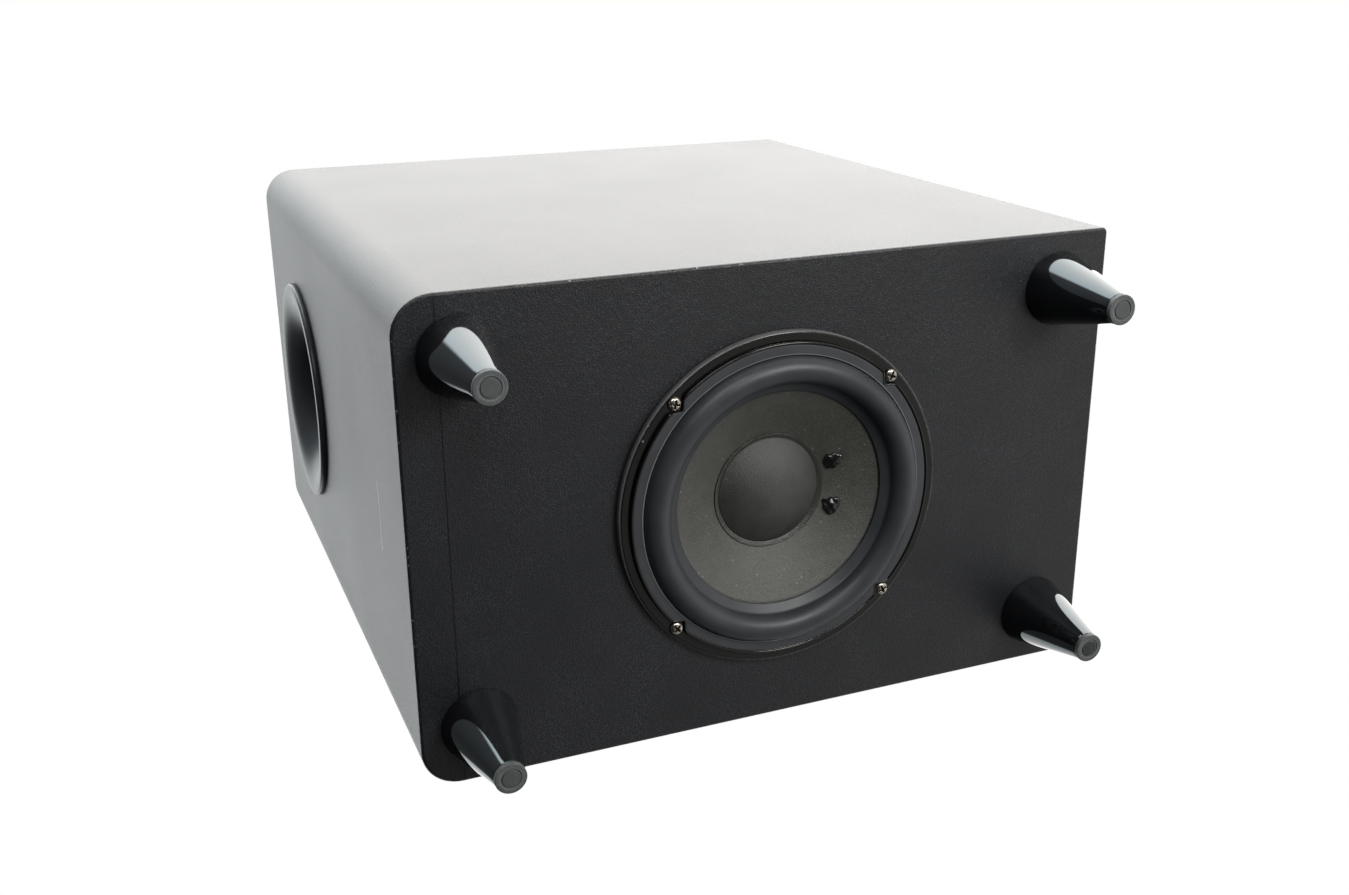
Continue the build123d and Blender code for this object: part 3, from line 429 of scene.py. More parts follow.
# ---- light ---------------------------------------------------------------------------
def softbox(name, place, width, height, power, colour):
    """A rectangular area light facing the part; the camera never sees the lamp itself."""
    data = bpy.data.lights.new(name, "AREA")
    data.shape = "RECTANGLE"
    data.size = width
    data.size_y = height
    data.energy = power
    data.color = colour
    lamp = bpy.data.objects.new(name, data)
    lamp.location = place
    facing = Vector(LIGHT_AIM) - Vector(place)
    lamp.rotation_euler = facing.to_track_quat("-Z", "Y").to_euler()
    lamp.visible_camera = False
    bpy.context.scene.collection.objects.link(lamp)


# Each four numbers remap a direction: from low, from high, to low, to high.
TENT_BASE, TENT_SLOPE, TENT_LEAST = 2.1, 3.6, 1.6
TENT_SIDE = (-0.52, -0.40, 0.07, 1.0)
TENT_RISE = (-0.10, 0.40, 0.0, 1.0)
TENT_REAR = (0.05, 0.8, 0.02, 0.75)
TENT_TINT = (-0.4, 0.1)
TENT_COOL, TENT_WARM = (0.92, 0.98, 1.0), (1.0, 0.99, 0.965)
LIGHT_AIM = (0, 0, 0.1)
# Softboxes: place, width, height, watts, colour.
SOFTBOXES = {
    "key": ((0.60, 0.44, -0.86), 0.45, 0.35, 6.6, (1.0, 0.995, 0.97)),
    "top_bank": ((1.5, -0.38, -1.15), 0.9, 0.5, 10.5, (1.0, 0.99, 0.96)),
}


def build_world():
    """White to the camera. To the surfaces, a tent of light in the part's frame, where
    strength = rear(y) + rise(z) * side(y) * max(LEAST, BASE + SLOPE x). It is brightest
    toward +X, dark toward -Y behind a sharp edge, and dark below."""
    world = bpy.data.worlds.new("tent")
    bpy.context.scene.world = world
    world.use_nodes = True
    tree = world.node_tree
    tree.nodes.clear()
    place = node(tree, "TexCoord")
    x, y, z = node(tree, "SeparateXYZ", [(0, place.outputs["Generated"])]).outputs
    strength = maths(tree, "MULTIPLY_ADD", x, TENT_SLOPE, TENT_BASE)
    strength = maths(tree, "MAXIMUM", strength, TENT_LEAST)
    strength = maths(tree, "MULTIPLY", strength, remap(tree, y, *TENT_SIDE, smooth=True))
    strength = maths(tree, "MULTIPLY", strength, remap(tree, z, *TENT_RISE, smooth=True))
    strength = maths(tree, "ADD", strength, remap(tree, y, *TENT_REAR))
    tint = mixed(tree, remap(tree, y, *TENT_TINT), TENT_COOL, TENT_WARM)
    tent = node(tree, "Background", [("Color", tint), ("Strength", strength)])
    plain = node(tree, "Background", [("Color", (1, 1, 1, 1))])
    path = node(tree, "LightPath")
    mix = node(tree, "MixShader", [(0, path.outputs["Is Camera Ray"]), (1, tent.outputs[0]),
                                   (2, plain.outputs[0])])
    node(tree, "OutputWorld", [("Surface", mix.outputs[0])])


def build_lights():
    """Two softboxes, and plain sRGB tones."""
    for name, settings in SOFTBOXES.items():
        softbox(name, *settings)
    bpy.context.scene.view_settings.view_transform = "Standard"
    bpy.context.scene.view_settings.look = "None"


build_world()
build_lights()


# ---- finishes ------------------------------------------------------------------------
# Colours are linear; reaches are metres from the driver's axis, as (from, to) of a fade.
VINYL, VINYL_WORN = (0.012, 0.013, 0.016), (0.019, 0.020, 0.023)
# The glint colour below is a painted highlight on the grain's peaks.
VINYL_PAINTED_GLINT = (0.100, 0.105, 0.122)
VINYL_CHIP, VINYL_LINT = (0.42, 0.42, 0.40), (0.35, 0.35, 0.36)
BOARD_LIGHT, BOARD_DARK = (0.42, 0.30, 0.185), (0.30, 0.20, 0.115)
LEATHER_SCALE = 1500.0
GRAIN_RELIEF = 0.00007
EDGE_WEAR = 0.0009
SKIN_DEPTH = 0.008
SEAM_HALF_WIDTH, SEAM_COLOUR, SEAM_SINK = 0.00036, (0.002, 0.002, 0.002), 2.0
SCRATCH_HEIGHT, SCRATCH_SPAN = 0.064, (-0.020, 0.017)
SCRATCH_HALF_WIDTH, SCRATCH_BEND, SCRATCH_COLOUR = 0.00034, 0.006, (0.7, 0.7, 0.7)
# The cone rim reach marks a dark line of painted shade inside the roll's flange edge.
CONE_RIM_SHADE_REACH = (0.0560, 0.0566)
# The cap's edge reach and the groove reaches mark painted shade; the ring reach is the glue ring.
CAP_RING_REACH, CAP_EDGE_SHADE_REACH = (0.0280, 0.0288), (0.0305, 0.03075)
GROOVE_SHADE_STARTS, GROOVE_SHADE_ENDS = (0.0276, 0.0279), (0.0281, 0.0285)
# The first pair marks the glossier inner edge of the gasket and its pale line of painted
# highlight.
POLISH_AND_HIGHLIGHT_ENDS, BEAD_STARTS = (0.0765, 0.0768), (0.0811, 0.0814)
# This reach marks a pale line of painted highlight on the frame's outer edge.
RIM_HIGHLIGHT_REACH = (0.0871, 0.0875)
# Deeper than this, the screw heads get painted shade in the cross recess and under the rim.
SCREW_PIT, SCREW_PIT_FADE = UNDERSIDE - 0.0052, 0.0002
FOOT_NAMES = ("front_left", "front_right", "rear_left", "rear_right")
PAD_DISC, PAD_DISC_FADE, PAD_LINE, PAD_LINE_HALF_WIDTH = 0.0042, 0.0003, 0.0055, 0.00035
KNOB_LINE, KNOB_LINE_DEPTH, KNOB_LINE_START = 0.00062, 0.0012, 0.001
TICK_RADII = (0.0150, 0.0176)
TICK_WIDTH, TICK_STEP, TICK_SWEEP = 0.0007, math.radians(30), math.radians(151)
BLACK = (0.010, 0.010, 0.011)
BLACK_SOFT = (0.016, 0.016, 0.018)
STEEL = (0.52, 0.52, 0.53)


def offset(tree, source, centre):
    """How far a value lies from a number, either way."""
    return maths(tree, "ABSOLUTE", maths(tree, "SUBTRACT", source, float(centre)))


def within(tree, *tests):
    """1 where every test holds, else 0. A test is (value, "LESS_THAN" or "GREATER_THAN",
    limit)."""
    mask = None
    for value, operation, limit in tests:
        passed = maths(tree, operation, value, limit)
        mask = passed if mask is None else maths(tree, "MULTIPLY", mask, passed)
    return mask


def scaled(tree, mask, amount):
    """A mask at part of its strength."""
    return maths(tree, "MULTIPLY", mask, amount)


def vinyl_finish():
    """Black leather-grain wrap outside, bare fibreboard inside. The wrap is within 8 mm of
    the outer faces, worn through in chips along the edges; the butt joint behind the front
    board is a hairline all the way round, and one long scratch crosses the front. The
    grain's peaks carry painted highlights, lighter in patches, that stand for glints."""
    material, tree, shader, where = blank("vinyl_board")
    x, y, z = node(tree, "SeparateXYZ", [(0, where)]).outputs
    depths = [maths(tree, "SUBTRACT", float(half), offset(tree, axis, centre))
              for axis, half, centre in zip((x, y, z), BOX_HALF, BOX_MIDDLE)]
    least, most = (maths(tree, operation, *depths[:2]) for operation in ("MINIMUM", "MAXIMUM"))
    inside = maths(tree, "GREATER_THAN", maths(tree, "MINIMUM", least, depths[2]), SKIN_DEPTH)
    second = maths(tree, "MAXIMUM", least, maths(tree, "MINIMUM", most, depths[2]))
    grain, peaks = grouped(tree, LEATHER, where, LEATHER_SCALE)
    drift = mottle(tree, where, 9.0, 1.4)
    colour = mixed(tree, drift, VINYL, VINYL_WORN)
    patch = remap(tree, mottle(tree, where, 26.0, 2.6), 0.2, 0.9, 0.05, 0.6)
    # Painted highlight: the grain's peaks are lightened in patches to stand for glints.
    colour = mixed(tree, maths(tree, "MULTIPLY", peaks, patch), colour, VINYL_PAINTED_GLINT)
    seam = maths(tree, "LESS_THAN", offset(tree, y, SEAM), SEAM_HALF_WIDTH)
    colour = mixed(tree, seam, colour, SEAM_COLOUR)
    chips = node(tree, "TexNoise", [("Vector", where), ("Scale", 430.0),
                                    ("Detail", 3.0)]).outputs[0]
    wear = maths(tree, "MULTIPLY", maths(tree, "LESS_THAN", second, EDGE_WEAR),
                 remap(tree, chips, 0.66, 0.70))
    colour = mixed(tree, wear, colour, VINYL_CHIP)
    colour = mixed(tree, specks(tree, where, 85.0, 0.012, 0.045), colour, VINYL_LINT)
    wander = node(tree, "TexNoise", [("Vector", where), ("Scale", 45.0)]).outputs[0]
    height = maths(tree, "SUBTRACT", z, float(UNDERSIDE + SCRATCH_HEIGHT))
    height = maths(tree, "ABSOLUTE",
                   maths(tree, "ADD", height, scaled(tree, wander, SCRATCH_BEND)))
    scratch = within(tree, (height, "LESS_THAN", SCRATCH_HALF_WIDTH),
                     (x, "GREATER_THAN", SCRATCH_SPAN[0]), (x, "LESS_THAN", SCRATCH_SPAN[1]),
                     (y, "LESS_THAN", float(FRONT + MM)))
    colour = mixed(tree, scaled(tree, scratch, 0.85), colour, SCRATCH_COLOUR)
    fibre = mottle(tree, where, 420.0, 2.5)
    bare = mixed(tree, fibre, BOARD_DARK, BOARD_LIGHT)
    gloss = maths(tree, "ADD", remap(tree, drift, 0, 1, 0.34, 0.39),
                  scaled(tree, inside, 0.45), clamp=True)
    relief = maths(tree, "SUBTRACT", grain, scaled(tree, seam, SEAM_SINK))
    relief = maths(tree, "MULTIPLY", relief, maths(tree, "SUBTRACT", 1.0, inside))
    relief = maths(tree, "ADD", relief,
                   maths(tree, "MULTIPLY", fibre, scaled(tree, inside, 0.6)))
    dressed(tree, shader, mixed(tree, inside, colour, bare), gloss, relief, GRAIN_RELIEF)
    return material


def radius_from(tree, where, centre):
    """Distance from the vertical line through centre, in metres."""
    moved = node(tree, "VectorMath", [(0, where), (1, tuple(-centre[:2]) + (0.0,))],
                 operation="ADD")
    flat = node(tree, "VectorMath", [(0, moved.outputs[0]), (1, (1.0, 1.0, 0.0))],
                operation="MULTIPLY")
    return node(tree, "VectorMath", [(0, flat.outputs[0])], operation="LENGTH").outputs["Value"]


def paper_finish():
    """Pulped paper, dark olive grey: clouded and blotched, with short fibres, pale flecks
    and a dark line of painted shade where the roll's flange begins."""
    material, tree, shader, where = blank("cone_paper")
    cloud = mottle(tree, where, 110.0, 2.2)
    fibre = node(tree, "TexNoise", [("Vector", where), ("Scale", 900.0), ("Detail", 4.0),
                                    ("Roughness", 0.75), ("Distortion", 1.2)]).outputs[0]
    blotch = scaled(tree, mottle(tree, where, 42.0, 2.6), 0.45)
    colour = mixed(tree, cloud, (0.042, 0.043, 0.037), (0.073, 0.073, 0.064))
    colour = mixed(tree, blotch, colour, (0.085, 0.085, 0.075))
    colour = mixed(tree, remap(tree, fibre, 0.45, 0.75), colour, (0.104, 0.104, 0.092))
    colour = mixed(tree, specks(tree, where, 420.0, 0.05, 0.22), colour, (0.20, 0.20, 0.185))
    reach = radius_from(tree, where, DRIVER)
    # Painted shade: a thin dark line where the roll's flange edge lies on the cone.
    colour = mixed(tree, remap(tree, reach, *CONE_RIM_SHADE_REACH), colour, (0.010, 0.010, 0.010))
    dressed(tree, shader, colour, remap(tree, cloud, 0, 1, 0.36, 0.48), fibre, 0.00034)
    constants(shader, Specular_IOR_Level=0.85)
    return material


def cap_finish():
    """Doped dust cap, sooty and speckled, with a lacquered ring of glue round it. Painted
    shade darkens the groove between dome and ring, and the ring's outer edge most."""
    material, tree, shader, where = blank("cap_cloth")
    cloud = mottle(tree, where, 85.0, 2.0)
    colour = mixed(tree, cloud, (0.044, 0.045, 0.042), (0.068, 0.068, 0.063))
    reach = radius_from(tree, where, DRIVER)
    ring = remap(tree, reach, *CAP_RING_REACH, smooth=True)
    # Painted shade: the groove and the ring's outer edge are darkened.
    groove = maths(tree, "MULTIPLY", remap(tree, reach, *GROOVE_SHADE_STARTS),
                   remap(tree, reach, *GROOVE_SHADE_ENDS, 1.0, 0.0))
    dark = maths(tree, "MAXIMUM", groove, remap(tree, reach, *CAP_EDGE_SHADE_REACH))
    colour = mixed(tree, ring, colour, (0.050, 0.050, 0.044))
    colour = mixed(tree, dark, colour, (0.008, 0.008, 0.008))
    colour = mixed(tree, specks(tree, where, 300.0, 0.02, 0.13), colour, (0.16, 0.16, 0.16))
    gloss = maths(tree, "SUBTRACT", remap(tree, cloud, 0, 1, 0.40, 0.48),
                  scaled(tree, ring, 0.30))
    dressed(tree, shader, colour, gloss, mottle(tree, where, 2000.0, 2.2), 0.00012)
    constants(shader, Specular_IOR_Level=0.62)
    return material


def rubber_roll_finish():
    """Moulded butyl rubber: blue-black with a dry bloom, polished where it was handled."""
    material, tree, shader, where = blank("surround_rubber")
    bloom = mottle(tree, where, 38.0, 2.0)
    colour = mixed(tree, bloom, (0.030, 0.034, 0.040), (0.046, 0.051, 0.059))
    colour = mixed(tree, specks(tree, where, 190.0, 0.02, 0.09), colour, (0.18, 0.18, 0.18))
    dressed(tree, shader, colour, remap(tree, bloom, 0, 1, 0.38, 0.48),
            mottle(tree, where, 700.0, 1.4), 0.00003)
    return material


def gasket_finish():
    """Matt rubber ring, polished at its inner edge, where a pale line of painted highlight
    stands for light on the edge, with a black, wet-looking bead of glue round its outer edge."""
    material, tree, shader, where = blank("gasket_rubber")
    reach = radius_from(tree, where, DRIVER)
    bead = remap(tree, reach, *BEAD_STARTS)
    polish_and_painted_highlight = remap(tree, reach, *POLISH_AND_HIGHLIGHT_ENDS, 1.0, 0.0)
    bloom = mottle(tree, where, 60.0, 2.0)
    colour = mixed(tree, bloom, (0.042, 0.046, 0.051), (0.058, 0.062, 0.068))
    colour = mixed(tree, bead, colour, (0.006, 0.0055, 0.005))
    # Painted highlight: a pale line on the inner edge, which is also made glossier.
    colour = mixed(tree, scaled(tree, polish_and_painted_highlight, 0.85), colour, (0.30, 0.31, 0.32))
    shine = scaled(tree, maths(tree, "MAXIMUM", bead, polish_and_painted_highlight), 0.36)
    gloss = maths(tree, "SUBTRACT", remap(tree, bloom, 0, 1, 0.40, 0.46), shine)
    dressed(tree, shader, colour, gloss, mottle(tree, where, 800.0, 1.4), 0.00003)
    return material


def frame_finish():
    """Black stove paint on the driver's frame: brown-black and glossy, with a pale line of
    painted highlight on the narrow outer edge of its ring, and a little dust."""
    material, tree, shader, where = blank("frame_paint")
    drift = mottle(tree, where, 90.0, 2.0)
    colour = mixed(tree, drift, (0.0035, 0.0034, 0.0033), (0.0065, 0.0062, 0.006))
    rim_highlight = remap(tree, radius_from(tree, where, DRIVER), *RIM_HIGHLIGHT_REACH)
    # Painted highlight: the narrow outer edge of the ring is lightened.
    colour = mixed(tree, scaled(tree, rim_highlight, 0.9), colour, (0.14, 0.143, 0.145))
    dust = specks(tree, where, LINT_SCALE, 0.004, LINT_SIZE)
    colour = mixed(tree, dust, colour, (0.2, 0.2, 0.2))
    dressed(tree, shader, colour, remap(tree, drift, 0, 1, 0.16, 0.24),
            mottle(tree, where, 1500.0, GRAIN_CONTRAST), 0.00001)
    return material


def screw_finish():
    """Nickelled screw: warm metal, with painted shade in the cross recess and under the rim."""
    material, tree, shader, where = blank("screw_nickel")
    height = node(tree, "SeparateXYZ", [(0, where)]).outputs[2]
    # Painted shade: the cross recess and the rim's underside are darkened and made non-metallic.
    pit_shade = remap(tree, height, float(SCREW_PIT - SCREW_PIT_FADE), float(SCREW_PIT))
    tarnish = mottle(tree, where, 700.0, 2.0)
    colour = mixed(tree, tarnish, (0.66, 0.61, 0.55), (0.50, 0.45, 0.39))
    colour = mixed(tree, pit_shade, colour, (0.006, 0.005, 0.004))
    tree.links.new(maths(tree, "SUBTRACT", 1.0, pit_shade), shader.inputs["Metallic"])
    dressed(tree, shader, colour, remap(tree, tarnish, 0, 1, 0.18, 0.30),
            mottle(tree, where, 1500.0, GRAIN_CONTRAST), 0.00002)
    return material


def pad_finish():
    """Grey rubber foot pad: a ring and a slightly darker middle disc with a pale line
    between them. The place is folded about the middle of the four feet, so that one pattern
    round one foot serves all of them."""
    material, tree, shader, where = blank("pad_rubber")
    centres = [middle(f"foot_{name}") for name in FOOT_NAMES]
    middle_of_all = sum(centres) / len(centres)
    moved = node(tree, "VectorMath", [(0, where), (1, tuple(middle_of_all))],
                 operation="SUBTRACT")
    folded = node(tree, "VectorMath", [(0, moved.outputs[0])], operation="ABSOLUTE")
    reach = radius_from(tree, folded.outputs[0], abs(centres[0] - middle_of_all))
    cloud = mottle(tree, where, 150.0, 2.0)
    colour = mixed(tree, cloud, (0.084, 0.092, 0.096), (0.122, 0.130, 0.134))
    disc = remap(tree, reach, PAD_DISC, PAD_DISC + PAD_DISC_FADE, 0.4, 0.0)
    colour = mixed(tree, disc, colour, (0.060, 0.066, 0.068))
    line = maths(tree, "LESS_THAN", offset(tree, reach, PAD_LINE), PAD_LINE_HALF_WIDTH)
    colour = mixed(tree, scaled(tree, line, 0.45), colour, (0.20, 0.21, 0.22))
    dressed(tree, shader, colour, remap(tree, cloud, 0, 1, 0.52, 0.64),
            mottle(tree, where, 1100.0, GRAIN_CONTRAST), 0.00006)
    return material


def knob_place(tree, where):
    """Place about the nearer knob's axis: (across, up), both knobs sharing one pattern."""
    left, right = middle("level_knob"), middle("crossover_knob")
    centre = (left + right) / 2
    x, _, z = node(tree, "SeparateXYZ", [(0, where)]).outputs
    across = maths(tree, "SUBTRACT", offset(tree, x, centre[0]),
                   float(abs(right - centre)[0]))
    return across, maths(tree, "SUBTRACT", z, float(centre[2]))


def knob_finish():
    """Moulded knob with a white painted pointer line in the groove of its face."""
    material, tree, shader, where = blank("knob_plastic")
    drift = mottle(tree, where, 200.0, 2.0)
    colour = mixed(tree, drift, BLACK, (0.016, 0.016, 0.017))
    across, up = knob_place(tree, where)
    y = node(tree, "SeparateXYZ", [(0, where)]).outputs[1]
    face = float(node_box("level_knob")[1][1] - KNOB_LINE_DEPTH)
    line = within(tree, (maths(tree, "ABSOLUTE", across), "LESS_THAN", KNOB_LINE),
                  (up, "GREATER_THAN", KNOB_LINE_START), (y, "GREATER_THAN", face))
    colour = mixed(tree, line, colour, (0.62, 0.62, 0.60))
    dressed(tree, shader, colour, remap(tree, drift, 0, 1, 0.36, 0.50),
            mottle(tree, where, 1800.0, GRAIN_CONTRAST), 0.00003)
    return material


def plate_finish():
    """Powder-coated steel plate with a ring of pale printed ticks round each knob: one each
    30 degrees of the angle from straight up, over the knob's sweep."""
    material, tree, shader, where = blank("plate_paint")
    drift = mottle(tree, where, 40.0, 2.0)
    colour = mixed(tree, drift, (0.012, 0.012, 0.013), (0.018, 0.018, 0.019))
    across, up = knob_place(tree, where)
    reach = maths(tree, "SQRT", maths(tree, "ADD", maths(tree, "MULTIPLY", across, across),
                                      maths(tree, "MULTIPLY", up, up)))
    angle = maths(tree, "ARCTAN2", across, up)
    steps = maths(tree, "ROUND", maths(tree, "DIVIDE", angle, TICK_STEP))
    nearest = maths(tree, "MULTIPLY", steps, TICK_STEP)
    away = maths(tree, "ABSOLUTE", maths(tree, "SUBTRACT", angle, nearest))
    ticks = within(tree, (maths(tree, "MULTIPLY", away, reach), "LESS_THAN", TICK_WIDTH / 2),
                   (reach, "GREATER_THAN", TICK_RADII[0]), (reach, "LESS_THAN", TICK_RADII[1]),
                   (maths(tree, "ABSOLUTE", angle), "LESS_THAN", TICK_SWEEP))
    colour = mixed(tree, ticks, colour, (0.50, 0.50, 0.49))
    dressed(tree, shader, colour, remap(tree, drift, 0, 1, 0.42, 0.56),
            mottle(tree, where, 1300.0, GRAIN_CONTRAST), 0.00008)
    return material


MADE = (vinyl_finish, paper_finish, cap_finish, rubber_roll_finish, gasket_finish,
        frame_finish, screw_finish, pad_finish, knob_finish, plate_finish)


def finish_name(material):
    """A material's name without the number that Blender adds to a name in use."""
    return material.name.split(".")[0]


FINISHES = {finish_name(material): material for material in (make() for make in MADE)}
# Each row: the two colours it drifts between, its roughness, and further settings of
# plain_finish or of the shader's sockets.
PLAIN = {
    "raw_board": (BOARD_DARK, BOARD_LIGHT, 0.8, dict(scale=420.0, grain=0.0001)),
    "port_plastic": ((0.045, 0.050, 0.056), (0.058, 0.064, 0.070), 0.33,
                     dict(swing=0.02, Specular_IOR_Level=0.36)),
    "tube_plastic": ((0.022, 0.024, 0.027), (0.032, 0.034, 0.038), 0.42, dict(grain=0.00003)),
    "foot_plastic": ((0.006, 0.006, 0.007), (0.010, 0.010, 0.011), 0.06,
                     dict(swing=0.015, scale=55.0, lint=0.006, lint_colour=(0.3, 0.3, 0.3),
                          Specular_IOR_Level=0.88, Specular_Tint=(0.84, 0.95, 1.0, 1.0))),
    "spider_cloth": ((0.42, 0.30, 0.12), (0.55, 0.42, 0.2), 0.75,
                     dict(scale=300.0, grain=0.0001, grain_scale=2400.0)),
    "plated_steel": (STEEL, (0.60, 0.57, 0.50), 0.32, dict(Metallic=1.0, grain=0.00001)),
    "ferrite": ((0.035, 0.036, 0.040), (0.055, 0.056, 0.060), 0.5,
                dict(scale=180.0, grain=0.00008)),
    "copper_wire": ((0.62, 0.26, 0.12), (0.72, 0.33, 0.16), 0.3,
                    dict(Metallic=1.0, grain=0.00005, grain_scale=3000.0)),
    "former_foil": ((0.66, 0.66, 0.65), (0.74, 0.73, 0.72), 0.28,
                    dict(Metallic=1.0, grain=0.00001)),
    "glue": ((0.006, 0.0065, 0.007), (0.016, 0.017, 0.018), 0.10,
             dict(swing=0.04, scale=200.0, grain=0.0001, grain_scale=700.0,
                  Specular_IOR_Level=0.9)),
    "phenolic": ((0.20, 0.10, 0.05), (0.27, 0.14, 0.07), 0.55, dict(scale=250.0, grain=0.00003)),
    "tinned_brass": ((0.72, 0.70, 0.64), (0.66, 0.60, 0.46), 0.3, dict(Metallic=1.0)),
    "braid": ((0.60, 0.33, 0.20), (0.72, 0.60, 0.48), 0.4,
              dict(scale=2500.0, Metallic=1.0, grain=0.0001, grain_scale=2500.0)),
    "screw_black": ((0.03, 0.03, 0.032), (0.05, 0.05, 0.052), 0.35,
                    dict(scale=400.0, Metallic=0.6)),
    "screw_steel": (STEEL, (0.44, 0.44, 0.45), 0.34, dict(scale=400.0, Metallic=1.0)),
    "foam": ((0.020, 0.020, 0.021), (0.034, 0.034, 0.035), 0.9,
             dict(scale=900.0, contrast=3.0, grain=0.0002, grain_scale=1800.0)),
    "wadding": ((0.62, 0.62, 0.60), (0.78, 0.78, 0.77), 0.95,
                dict(scale=70.0, grain=0.0012, grain_scale=260.0, Sheen_Weight=0.4)),
    "circuit_board": ((0.02, 0.10, 0.035), (0.025, 0.13, 0.045), 0.35,
                      dict(scale=260.0, contrast=3.0)),
    "spacer_brass": ((0.70, 0.50, 0.22), (0.60, 0.42, 0.18), 0.3, dict(Metallic=1.0)),
    "lamination": ((0.24, 0.24, 0.25), (0.34, 0.33, 0.32), 0.45,
                   dict(scale=600.0, Metallic=1.0, grain=0.00005)),
    "coil_tape": ((0.55, 0.42, 0.08), (0.62, 0.50, 0.12), 0.4, dict(scale=120.0, grain=0.00005)),
    "can_sleeve": ((0.012, 0.016, 0.030), (0.018, 0.022, 0.038), 0.3, dict(scale=120.0)),
    "pot_metal": ((0.55, 0.55, 0.54), (0.62, 0.62, 0.60), 0.36, dict(Metallic=1.0, scale=300.0)),
    "shaft_alloy": ((0.66, 0.66, 0.66), (0.72, 0.72, 0.72), 0.3, dict(Metallic=1.0, scale=300.0)),
    "switch_plastic": (BLACK, BLACK_SOFT, 0.42, dict(scale=200.0)),
    "slider_plastic": ((0.20, 0.20, 0.205), (0.25, 0.25, 0.255), 0.45,
                       dict(scale=300.0, grain=0.00003)),
    "rocker_plastic": ((0.009, 0.009, 0.010), (0.014, 0.014, 0.015), 0.24, dict(scale=200.0)),
    "inlet_plastic": (BLACK, BLACK_SOFT, 0.38, dict(scale=150.0, grain=0.00003)),
    "pin_nickel": ((0.68, 0.66, 0.62), (0.60, 0.58, 0.54), 0.26, dict(Metallic=1.0, scale=400.0)),
    "socket_plastic": (BLACK, BLACK_SOFT, 0.4, dict(scale=180.0)),
    "socket_gold": ((0.78, 0.58, 0.26), (0.70, 0.50, 0.20), 0.24,
                    dict(Metallic=1.0, scale=300.0)),
    "lamp_lens": ((0.02, 0.16, 0.05), (0.03, 0.22, 0.07), 0.12,
                  dict(scale=400.0, Coat_Weight=0.6)),
    "wire_sleeve": ((0.30, 0.02, 0.02), (0.36, 0.03, 0.03), 0.42, dict(scale=120.0)),
}
for label, (first, second, roughness, settings) in PLAIN.items():
    FINISHES[label] = plain_finish(label, first, second, roughness, **settings)

for cad_node in NODES.values():
    for index, material in enumerate(cad_node.data.materials):
        cad_node.data.materials[index] = FINISHES[finish_name(material)]


# ---- feet ----------------------------------------------------------------------------
# Radii and heights in mm.
FOOT_BASE, FOOT_TIP, FOOT_LOW = 19.75, 7.65, 2.5
FOOT_EDGE = 0.8
FOOT_BORE, FOOT_BORE_TOP, FOOT_SCREW_HOLE = 5.2, 20.0, 2.2
FOOT_STEPS = 128
PAD_RADIUS, PAD_EDGE, PAD_STEPS = 7.75, 0.5, 96
PAD_GROOVE_IN, PAD_GROOVE_OUT, PAD_GROOVE_DEPTH, PAD_GROOVE_EDGE = 4.2, 5.2, 0.5, 0.12
PAD_GROOVE_SLOPE = 0.1
PLUG_RADIUS, PLUG_TOP = FOOT_BORE - 0.05, 7.5


def build_feet():
    """Each foot is a turned cone with rounded edges and a stepped bore, and each pad a disc
    with a round edge, a ring groove and a plug that fills the mouth of the bore."""
    top = UNDERSIDE / MM
    cone = refined(rounded([
        (FOOT_SCREW_HOLE, FOOT_BORE_TOP), (FOOT_BORE, FOOT_BORE_TOP), (FOOT_BORE, FOOT_LOW),
        (FOOT_TIP, FOOT_LOW, FOOT_EDGE), (FOOT_BASE, top, FOOT_EDGE), (FOOT_SCREW_HOLE, top),
    ]), 3.0)
    pad = refined(rounded([
        (0, 0), (PAD_GROOVE_IN, 0, PAD_GROOVE_EDGE),
        (PAD_GROOVE_IN + PAD_GROOVE_SLOPE, PAD_GROOVE_DEPTH, PAD_GROOVE_EDGE),
        (PAD_GROOVE_OUT - PAD_GROOVE_SLOPE, PAD_GROOVE_DEPTH, PAD_GROOVE_EDGE),
        (PAD_GROOVE_OUT, 0, PAD_GROOVE_EDGE), (PAD_RADIUS, 0, PAD_EDGE),
        (PAD_RADIUS, FOOT_LOW, 0.2), (PLUG_RADIUS, FOOT_LOW), (PLUG_RADIUS, PLUG_TOP, 0.3),
        (0, PLUG_TOP),
    ], closed=False), 1.5, closed=False)
    for name in FOOT_NAMES:
        origin = np.array([*middle(f"foot_{name}")[:2], 0.0])
        lathe(f"{name}_foot_cone", cone, FOOT_STEPS, origin, "foot_plastic", CABINET,
              [f"foot_{name}"])
        lathe(f"{name}_foot_rubber", pad, PAD_STEPS, origin, "pad_rubber", CABINET,
              [f"foot_pad_{name}"], closed=False)


# ---- port ----------------------------------------------------------------------------
THROAT, FLARE_WIDTH, FLARE_DEPTH, FLARE_PROUD = 36.0, 28.0, 28.0, 3.5
FLARE_LIP, FLARE_LIP_EDGE, FLARE_WALL = 3.2, 1.6, 2.5
SOCKET_STEP, SOCKET_DEPTH, TUBE_END, TUBE_EDGE = 4.0, 12.0, 200.0, 0.6
FLARE_STEPS, TUBE_STEPS = 224, 160


